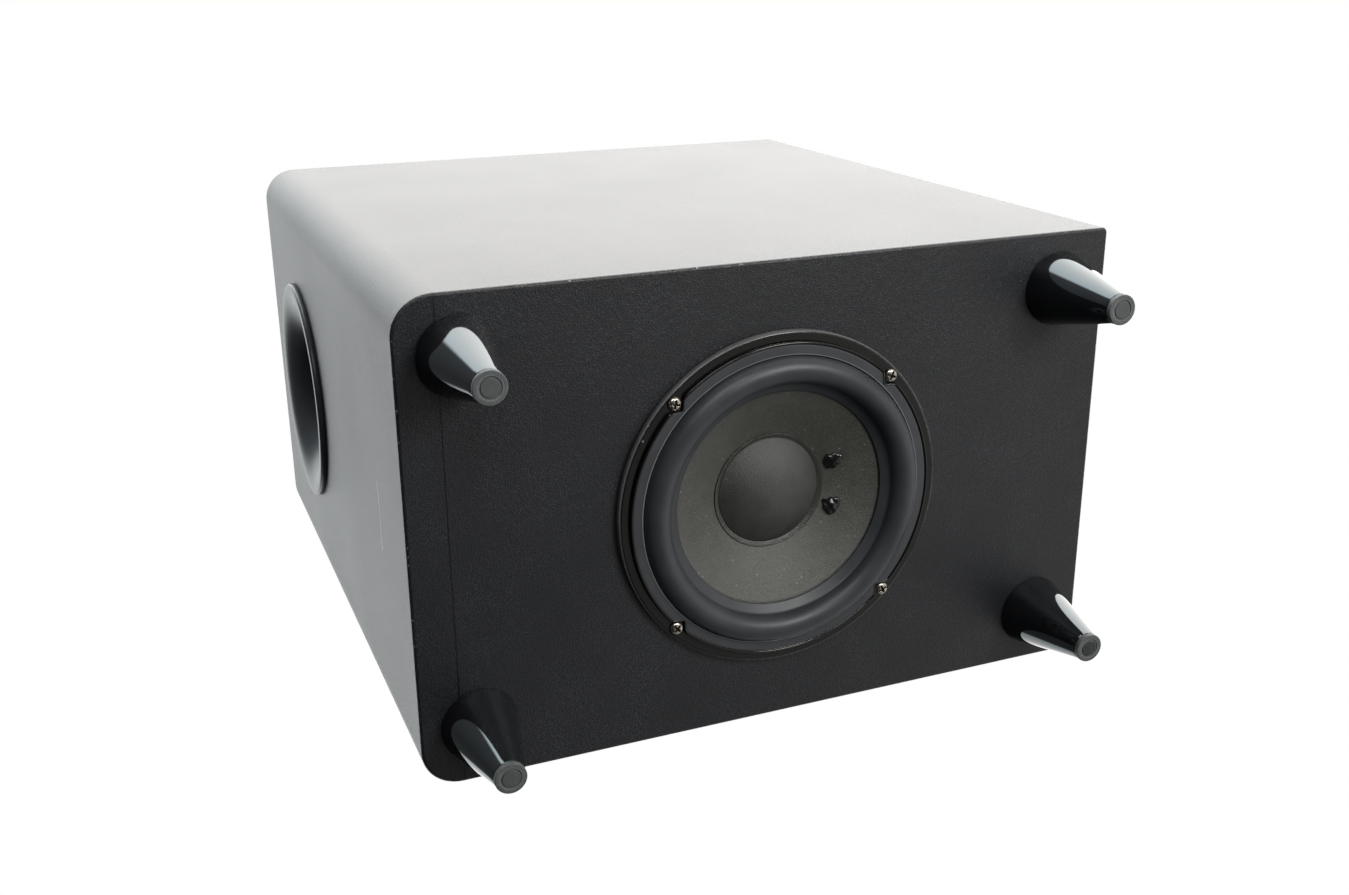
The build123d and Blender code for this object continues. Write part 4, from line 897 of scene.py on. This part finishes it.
def build_port():
    """The flare is a quarter ellipse turned about the port's axis, r = lip - a cos t and
    h = depth - b sin t, with a rolled lip and a socket for the tube, which is a plain turned
    wall."""
    lip = THROAT + FLARE_WIDTH
    outer = lip + FLARE_LIP
    turn = np.linspace(0, math.pi / 2, 48)
    front = np.stack([lip - FLARE_WIDTH * np.cos(turn),
                      FLARE_DEPTH - (FLARE_DEPTH + FLARE_PROUD) * np.sin(turn)], 1)
    reach_a, reach_b = FLARE_WIDTH - FLARE_WALL, FLARE_DEPTH + FLARE_PROUD - FLARE_WALL
    last = math.asin(FLARE_DEPTH / reach_b)
    turn = np.linspace(last, 0, 24)
    back = np.stack([lip - reach_a * np.cos(turn), FLARE_DEPTH - reach_b * np.sin(turn)], 1)
    rim = rounded([(lip, -FLARE_PROUD), (outer, -FLARE_PROUD, FLARE_LIP_EDGE), (outer, 0)],
                  closed=False, steps=12)[1:]
    socket = THROAT + FLARE_WALL
    end = FLARE_DEPTH + SOCKET_STEP + SOCKET_DEPTH
    tail = np.array([(socket + FLARE_WALL, FLARE_DEPTH), (socket + FLARE_WALL, end),
                     (socket, end), (socket, FLARE_DEPTH + SOCKET_STEP),
                     (THROAT, FLARE_DEPTH + SOCKET_STEP)])
    profile = refined(np.vstack([front, rim, back, tail]), 4.0)
    lathe("port_mouth_flare", profile, FLARE_STEPS, PORT, "port_plastic", CABINET, ["port_flare"],
          axes=PORT_AXIS)
    tube_profile = refined(rounded([
        (THROAT, FLARE_DEPTH + SOCKET_STEP), (socket, FLARE_DEPTH + SOCKET_STEP),
        (socket, TUBE_END, TUBE_EDGE), (THROAT, TUBE_END, TUBE_EDGE),
    ]), 12.0)
    lathe("port_inner_tube", tube_profile, TUBE_STEPS, PORT, "tube_plastic", CABINET,
          ["port_tube"], axes=PORT_AXIS)


# ---- driver, heights in mm from the underside, into the cabinet -----------------------
FRAME_FACE = 4.3
LIP_WALL = 0.6
ROLL_OUT, ROLL_IN, ROLL_WALL, ROLL_GAP = 75.7, 61.7, 1.0, 0.5
ROLL_STEPS, GASKET_STEPS, CONE_STEPS, CAP_STEPS = 256, 512, 192, 256
GASKET_OUT, GASKET_THICK = 82.5, 1.0
BEAD_MIDDLE, BEAD_WIDE, BEAD_TALL, BEAD_START = 82.1, 0.75, 0.8, 0.35 * math.pi
BEAD_FROM, BEAD_FADE = 80.8, 1.2
# Each wave is (strength, waves in a turn, phase in radians).
ROLL_WAVES = ((0.05, 11, 0.7), (0.04, 23, 2.1))
BEAD_WAVES = ((0.55, 9, 0.4), (0.45, 17, 1.9), (0.35, 31, 4.0), (0.25, 53, 0.3))
CAP_WAVES = ((0.28, 7, 0.5), (0.22, 13, 2.2), (0.3, 3, 4.4))
CONE_EDGE, CONE_EDGE_DEPTH, CONE_SLOPE, CONE_WALL = 61.2, -3.1, 0.5, 0.9
CONE_FLANGE = 57.0
SOFT_GAP = 0.3
NECK = 19.0
CAP_RADIUS, CAP_RIM, CAP_WALL, CAP_APEX = 28.0, 30.8, 0.8, 3.0
CAP_GLUE_RADIUS, CAP_GLUE_SPREAD, CAP_GLUE_HEIGHT = 29.6, 0.9, 0.35
SCREW_NOTCH, SCREW_CIRCLE = 5.6, 83.25
SPIDER_SEAT, SPIDER_RIM, SPIDER_WAVE, SPIDER_WAVES = 34.0, 46.0, 2.2, 5
SPIDER_WALL, SPIDER_HELD, SPIDER_STEPS = 0.6, 41.0, 128


def waves(angle, table):
    """Sum of sines round a turn: strength * sin(count * angle + phase) for each wave."""
    return sum(strength * np.sin(count * angle + phase) for strength, count, phase in table)


def cone_front(radius):
    """Height of the cone's front surface at a radius: a straight slope."""
    return CONE_EDGE_DEPTH + (CONE_EDGE - radius) * CONE_SLOPE


def flexing(piece):
    """Bakes the piece's placing into its mesh; the points it reads go unused."""
    place = np.empty(len(piece.data.vertices) * 3)
    piece.data.vertices.foreach_get("co", place)
    place = place.reshape(-1, 3)
    follow(piece)


def follow(piece):
    """Bakes the piece's placing into its mesh."""
    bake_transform(piece)


def notch_depth(angle, radius):
    """How far a point of the landing lies inside the nearest screw notch, in mm."""
    folded = (angle - math.pi / 4) % (math.pi / 2)
    folded = np.minimum(folded, math.pi / 2 - folded)
    away = np.hypot(radius * np.cos(folded) - SCREW_CIRCLE, radius * np.sin(folded))
    return np.clip(SCREW_NOTCH - away, 0, None)


def build_surround():
    """Half roll between a flat landing and a sloped flange, turned: the front skin is
    (R, h) = roll centre + 7 (cos t, -sin t) in mm, the back skin the same with 6. Slow sines
    of the angle make it slightly uneven, and the landing's outer edge is pulled in round the
    four screws."""
    roll, face = (ROLL_OUT + ROLL_IN) / 2, -FRAME_FACE - LIP_WALL
    reach = (ROLL_OUT - ROLL_IN) / 2
    turn = np.linspace(0, math.pi, 40)
    front = np.stack([roll + reach * np.cos(turn), face - reach * np.sin(turn)], 1)
    back = np.stack([roll - (reach - ROLL_WALL) * np.cos(turn),
                     face - (reach - ROLL_WALL) * np.sin(turn)], 1)
    flange = cone_front(CONE_FLANGE) - SOFT_GAP
    profile = np.vstack([
        [(GASKET_OUT, -FRAME_FACE), (GASKET_OUT, face), (ROLL_OUT + ROLL_GAP, face)], front,
        rounded([(ROLL_IN, face), (CONE_FLANGE, flange - LIP_WALL, 0.25),
                 (CONE_FLANGE, flange), (ROLL_IN + ROLL_WALL, cone_front(ROLL_IN + ROLL_WALL)
                                         - SOFT_GAP)], closed=False)[1:],
        back[1:], [(ROLL_OUT - ROLL_WALL, -FRAME_FACE)],
    ])
    profile = refined(profile, 1.2)

    def relief(angle, radius, height):
        edge = np.clip((radius - ROLL_OUT) / (GASKET_OUT - ROLL_OUT), 0, 1)
        pull = notch_depth(angle, GASKET_OUT) * edge
        inside = np.clip(1 - abs(radius - roll) / reach, 0, 1)
        return -pull, waves(angle, ROLL_WAVES) * inside

    points = placed(lathe_points(profile, ROLL_STEPS, relief), DRIVER)
    piece = mesh_object("rubber_roll", points, "surround_rubber", closed=True)
    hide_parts("surround")
    flexing(piece)


def build_gasket():
    """Flat ring on the landing with an uneven bead of glue round its outer edge: the bead's
    height and reach are sums of sines of the angle, and both pull in round the screws."""
    face = -FRAME_FACE - LIP_WALL
    top = face - GASKET_THICK
    inner = ROLL_OUT + ROLL_GAP
    turn = np.linspace(0, math.pi + BEAD_START, 12)
    profile = np.vstack([
        rounded([(inner, face), (inner, top, 0.35)], closed=False),
        [(inner + 0.5, top), (78.0, top), (81.0, top)],
        np.stack([BEAD_MIDDLE - BEAD_WIDE * np.cos(turn),
                  top + 0.15 - BEAD_TALL * np.sin(turn.clip(0, math.pi))], 1),
        [(GASKET_OUT + 0.2, face)],
    ])
    profile = refined(profile, 0.8)

    def relief(angle, radius, height):
        edge = np.clip((radius - BEAD_FROM) / BEAD_FADE, 0, 1)
        lumps = 0.10 * waves(angle, BEAD_WAVES) * edge
        pull = notch_depth(angle, GASKET_OUT) * np.clip((radius - 76.5) / 6, 0, 1)
        raised = (height < top + 0.05) * edge
        return 0.16 * lumps - pull, -0.30 * np.abs(lumps) * raised
    lathe("landing_ring", profile, GASKET_STEPS, DRIVER, "gasket_rubber", CABINET,
          ["surround_gasket"], relief=relief)


def build_cone():
    """Straight-sided paper cone, its front very slightly uneven, and the domed cap with its
    glued skirt: dome height = centre - sqrt(R^2 - r^2)."""
    profile = refined(rounded([
        (NECK, cone_front(NECK)), (CONE_EDGE, CONE_EDGE_DEPTH, 0.3),
        (CONE_EDGE, CONE_EDGE_DEPTH + CONE_WALL, 0.3), (NECK, cone_front(NECK) + CONE_WALL),
    ]), 1.4)

    def uneven(angle, radius, height):
        wave = np.sin(5 * angle + radius * 0.21) * np.sin(3 * angle - radius * 0.13 + 1.0)
        return 0 * radius, 0.05 * wave
    lathe("paper_cone", profile, CONE_STEPS, DRIVER, "cone_paper", CONE_BODY, ["cone"],
          relief=uneven)

    rim = cone_front(CAP_RADIUS)
    rise = rim - CAP_WALL - CAP_APEX
    sphere = (CAP_RADIUS**2 + rise**2) / (2 * rise)
    centre = CAP_APEX + sphere
    radius = np.linspace(0, CAP_RADIUS - 0.3, 40)
    dome = np.stack([radius, centre - np.sqrt(sphere**2 - radius**2)], 1)
    skirt = rounded([
        (CAP_RADIUS - 0.3, dome[-1, 1]), (CAP_RADIUS + 0.2, cone_front(CAP_RADIUS) - 0.75, 0.3),
        (CAP_RIM, cone_front(CAP_RIM) - 0.7, 0.3), (CAP_RIM, cone_front(CAP_RIM) - 0.06),
        (CAP_RADIUS - CAP_WALL, cone_front(CAP_RADIUS - CAP_WALL) - 0.06),
    ], closed=False)[1:]
    inner = radius[::-1] * (CAP_RADIUS - 1.4) / radius[-1]
    back = np.stack([inner, centre - np.sqrt((sphere - CAP_WALL)**2 - inner**2)], 1)
    profile = np.vstack([dome, skirt, back])

    def glued(angle, radius, height):
        ring = (np.exp(-((radius - CAP_GLUE_RADIUS) / CAP_GLUE_SPREAD) ** 2)
                * (height < cone_front(radius) - SOFT_GAP))
        lump = 0.5 + waves(angle, CAP_WAVES)
        return 0 * radius, -CAP_GLUE_HEIGHT * np.clip(lump, 0, None) * ring
    lathe("cloth_dust_cap", profile, CAP_STEPS, DRIVER, "cap_cloth", CONE_BODY, ["dust_cap"],
          relief=glued, closed=False)


GLUE_RADIUS, GLUE_ANGLE, GLUE_FOOT, GLUE_HEIGHT = 37.0, 19.8, 5.5, 2.5
GLUE_TAIL, GLUE_TAIL_ANGLE, GLUE_TAIL_SPREAD = 0.22, math.pi, 0.30


def build_glue_dabs():
    """Two blobs of glue over the lead joints. Over a disc (s, a) each rises
    h = H (1 - s^3)^0.5 times an uneven lump of sines; sines of the angle make its outline
    uneven, and a low tail runs toward the cap."""
    tilt = math.atan(CONE_SLOPE)
    pieces = []
    for side in (-1, 1):
        spot = math.radians(90 - side * GLUE_ANGLE)
        radial = np.array([math.cos(spot), math.sin(spot), 0.0])
        down = np.array([0.0, 0.0, -1.0])
        outward = radial * math.cos(tilt) + down * math.sin(tilt)
        normal = -radial * math.sin(tilt) + down * math.cos(tilt)
        across = np.cross(normal, outward)
        centre = GLUE_RADIUS * radial + np.array([0, 0, cone_front(GLUE_RADIUS)])
        share = np.linspace(0, 1, 22)[:, None]
        angle = np.linspace(0, 2 * math.pi, 72, endpoint=False)[None, :]
        off_tail = angle - GLUE_TAIL_ANGLE - 0.25 * side
        tail = np.exp(-(off_tail / GLUE_TAIL_SPREAD) ** 2)
        outline = GLUE_FOOT * (0.84 + 0.10 * np.sin(2 * angle + side) + 0.08
                               * np.sin(3 * angle + 1.3 * side) + 0.04 * np.sin(7 * angle)
                               + GLUE_TAIL * tail)
        bump = (1 - share**3) ** 0.5
        lump = 0.84 + (0.22 * np.sin(4.6 * share * np.cos(angle + 0.6 * side) + 1.1)
                       * np.cos(4.0 * share * np.sin(angle) + 0.4 * side))
        lump = lump - 0.45 * tail * share
        height = (GLUE_HEIGHT * 0.88 * bump * lump).clip(0, GLUE_HEIGHT)
        forward, sideways = share * outline * np.cos(angle), share * outline * np.sin(angle)
        flat = centre + forward[..., None] * outward + sideways[..., None] * across
        top = flat + height[..., None] * normal
        base = (flat + 0.02 * normal)[::-1]
        pieces.append(np.concatenate([top, base[1:]]))
    for points, label in zip(pieces, ("first", "second")):
        piece = mesh_object(f"lead_glue_{label}", placed(points, DRIVER), "glue")
        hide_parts("lead_glue")
        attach(piece, CONE_BODY)


SCREW_HEAD, SCREW_RISE, SCREW_SHANK, SCREW_LENGTH = 3.6, 2.1, 1.9, 9.0
SCREW_ARM, SCREW_SLOT, SCREW_DEPTH = 2.45, 0.62, 1.7
ARM_SLOPE, SLOT_SLOPE = 0.35, 0.22
SCREW_TURNS = (0.35, 1.1, 0.8, 0.2)


def build_screws():
    """Pan heads with a cross recess: over a disc (s, a) the height is
    H (1 - s^4)^0.5 less a pit of 1.7 mm inside the cross |x| < arm, |y| < slot, both ways;
    the rim drops to the frame and closes on a short shank. Each head is turned its own way."""
    share = np.concatenate([np.linspace(0, 0.72, 44), np.linspace(0.74, 1, 14)])[:, None]
    angle = np.linspace(0, 2 * math.pi, 144, endpoint=False)[None, :]
    for index, turn in enumerate(SCREW_TURNS):
        spot = math.pi / 4 + index * math.pi / 2
        x, y = (SCREW_HEAD * share * trig(angle) for trig in (np.cos, np.sin))
        pit = np.zeros_like(x)
        for first, second in ((x, y), (y, x)):
            arm = np.clip((SCREW_ARM - np.abs(first)) / ARM_SLOPE, 0, 1)
            slot = np.clip((SCREW_SLOT - np.abs(second)) / SLOT_SLOPE, 0, 1)
            pit = np.maximum(pit, np.minimum(arm, slot))
        rise = SCREW_RISE * (1 - share**4) ** 0.5 * np.ones_like(x) - SCREW_DEPTH * pit
        turned_angle = angle + turn
        flat = SCREW_HEAD * share
        top = np.stack([flat * np.cos(turned_angle), flat * np.sin(turned_angle),
                        -FRAME_FACE - rise], -1)
        seat = -FRAME_FACE + 0.02
        under = rounded([(SCREW_HEAD, seat), (SCREW_SHANK, seat),
                         (SCREW_SHANK, SCREW_LENGTH - 1.0, 0.3), (0, SCREW_LENGTH)],
                        closed=False)
        shank = np.stack([under[:, :1] * np.cos(turned_angle),
                          under[:, :1] * np.sin(turned_angle),
                          under[:, 1:] * np.ones_like(angle)], -1)
        points = np.concatenate([top, shank])
        points[..., 0] += SCREW_CIRCLE * math.cos(spot)
        points[..., 1] += SCREW_CIRCLE * math.sin(spot)
        piece = mesh_object(f"frame_screw_{index + 1}", placed(points, DRIVER),
                            "screw_nickel")
        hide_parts("driver_screws")
        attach(piece, CABINET)


def build_spider():
    """Corrugated cloth ring, turned: height = seat - 2.2 sin(phase) in mm, where the phase
    runs over five half waves of the radius and stops at the flat rim; 0.6 mm thick."""
    inner = NECK + 0.3
    flat = inner + 2 * SPIDER_WAVE * SPIDER_WAVES
    radius = np.linspace(inner, SPIDER_RIM, 120)
    phase = np.clip((radius - inner) / (2 * SPIDER_WAVE), 0, SPIDER_WAVES) * math.pi
    half = SPIDER_WALL / 2
    height = SPIDER_SEAT - half - SPIDER_WAVE * np.sin(phase) * (radius < flat)
    front = np.stack([radius, height - half], 1)
    back = np.stack([radius, height + half], 1)[::-1]
    points = placed(lathe_points(np.vstack([front, back]), SPIDER_STEPS), DRIVER)
    piece = mesh_object("cloth_spider", points, "spider_cloth", closed=True)
    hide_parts("spider")
    flexing(piece)


TAG_SPREAD, TAG_Y, TAG_Z = 9.0, 61.6, SPIDER_SEAT - 8.0
LEAD_RADIUS, LEAD_RIPPLE, LEAD_RINGS, LEAD_SIDES = 0.66, 0.04, 60, 14


def build_tinsels():
    """Two braided leads from behind the glue dabs to the tags, each a round tube along a
    smooth line."""
    for side, label in ((-1, "first"), (1, "second")):
        spot = math.radians(90 - side * GLUE_ANGLE)
        x, y = GLUE_RADIUS * math.cos(spot), GLUE_RADIUS * math.sin(spot)
        behind = cone_front(GLUE_RADIUS) + CONE_WALL + SOFT_GAP + 0.7
        path = smooth_path([(x, y, behind), (x, y + 6, behind + 8),
                            (side * TAG_SPREAD, TAG_Y - 9, TAG_Z),
                            (side * TAG_SPREAD, TAG_Y, TAG_Z)], LEAD_RINGS)
        turn = np.linspace(0, 60 * math.pi, LEAD_RINGS)
        thickness = LEAD_RADIUS + LEAD_RIPPLE * np.sin(turn)
        points = placed(tube(path, thickness, LEAD_SIDES), DRIVER)
        piece = mesh_object(f"tinsel_lead_{label}", points, "braid")
        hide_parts("tinsel_leads")
        place = np.empty(len(piece.data.vertices) * 3)
        piece.data.vertices.foreach_get("co", place)
        follow(piece)


WADDING_BEND, WADDING_FILL, WADDING_TUFT = 0.42, 0.955, 0.022


def build_wadding():
    """Loose polyester pad on a side board: a box-like superellipsoid,
    |x/a|^n + |y/b|^n + |z/c|^n = 1 with n near 5, tufted by sums of sines and cut off at the
    two faces of its CAD node across x."""
    low, high = node_box("wadding_pad")
    centre, half = (low + high) / 2, (high - low) / 2
    tall = np.linspace(-math.pi / 2, math.pi / 2, 90)[:, None]
    round_ = np.linspace(-math.pi, math.pi, 150, endpoint=False)[None, :]

    def bent(value):
        return np.sign(value) * np.abs(value) ** WADDING_BEND
    unit = np.stack([bent(np.cos(tall)) * bent(np.cos(round_)),
                     bent(np.cos(tall)) * bent(np.sin(round_)),
                     bent(np.sin(tall)) * np.ones_like(round_)], -1)
    tuft = (np.sin(unit[..., 1] * 14 + 1.1) * np.sin(unit[..., 2] * 11 + 0.4)
            + 0.6 * np.sin(unit[..., 1] * 31 + unit[..., 2] * 23))
    points = centre + unit * half * (WADDING_FILL + WADDING_TUFT * tuft[..., None])
    points[..., 0] = np.clip(points[..., 0], low[0], high[0])
    piece = mesh_object("wadding_blanket", points, "wadding")
    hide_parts("wadding_pad")
    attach(piece, CABINET)


for build in (build_feet, build_port, build_surround, build_gasket, build_cone,
              build_glue_dabs, build_screws, build_spider, build_tinsels, build_wadding):
    build()


# ---- floor ---------------------------------------------------------------------------
FLOOR_RADIUS, FLOOR_SIDES, FLOOR_FADE = 3.0, 96, (0.8, 2.4)


def build_floor():
    """A pale disc that only the camera sees, and only from above; it fades out at its edge."""
    angle = np.linspace(0, 2 * math.pi, FLOOR_SIDES, endpoint=False)
    rim = np.stack([np.cos(angle), np.sin(angle), 0 * angle], 1) * FLOOR_RADIUS
    mesh = bpy.data.meshes.new("floor")
    mesh.from_pydata(rim.tolist(), [], [list(range(len(rim)))])
    floor = bpy.data.objects.new("floor", mesh)
    bpy.context.scene.collection.objects.link(floor)
    material, tree, shader, where = blank("floor_paint")
    tree.nodes.remove(shader)
    pale = node(tree, "BsdfDiffuse", [("Color", (0.80, 0.80, 0.80, 1))])
    clear = node(tree, "BsdfTransparent")
    path = node(tree, "LightPath")
    side = node(tree, "NewGeometry")
    reach = node(tree, "VectorMath", [(0, where)], operation="LENGTH")
    fade = remap(tree, reach.outputs["Value"], *FLOOR_FADE, 1.0, 0.0, smooth=True)
    seen = maths(tree, "MULTIPLY", path.outputs["Is Camera Ray"],
                 maths(tree, "SUBTRACT", 1.0, side.outputs["Backfacing"]))
    mix = node(tree, "MixShader", [(0, maths(tree, "MULTIPLY", seen, fade)),
                                   (1, clear.outputs[0]), (2, pale.outputs[0])])
    output = next(item for item in tree.nodes if item.type == "OUTPUT_MATERIAL")
    tree.links.new(mix.outputs[0], output.inputs["Surface"])
    mesh.materials.append(material)


build_floor()

bpy.context.view_layer.update()
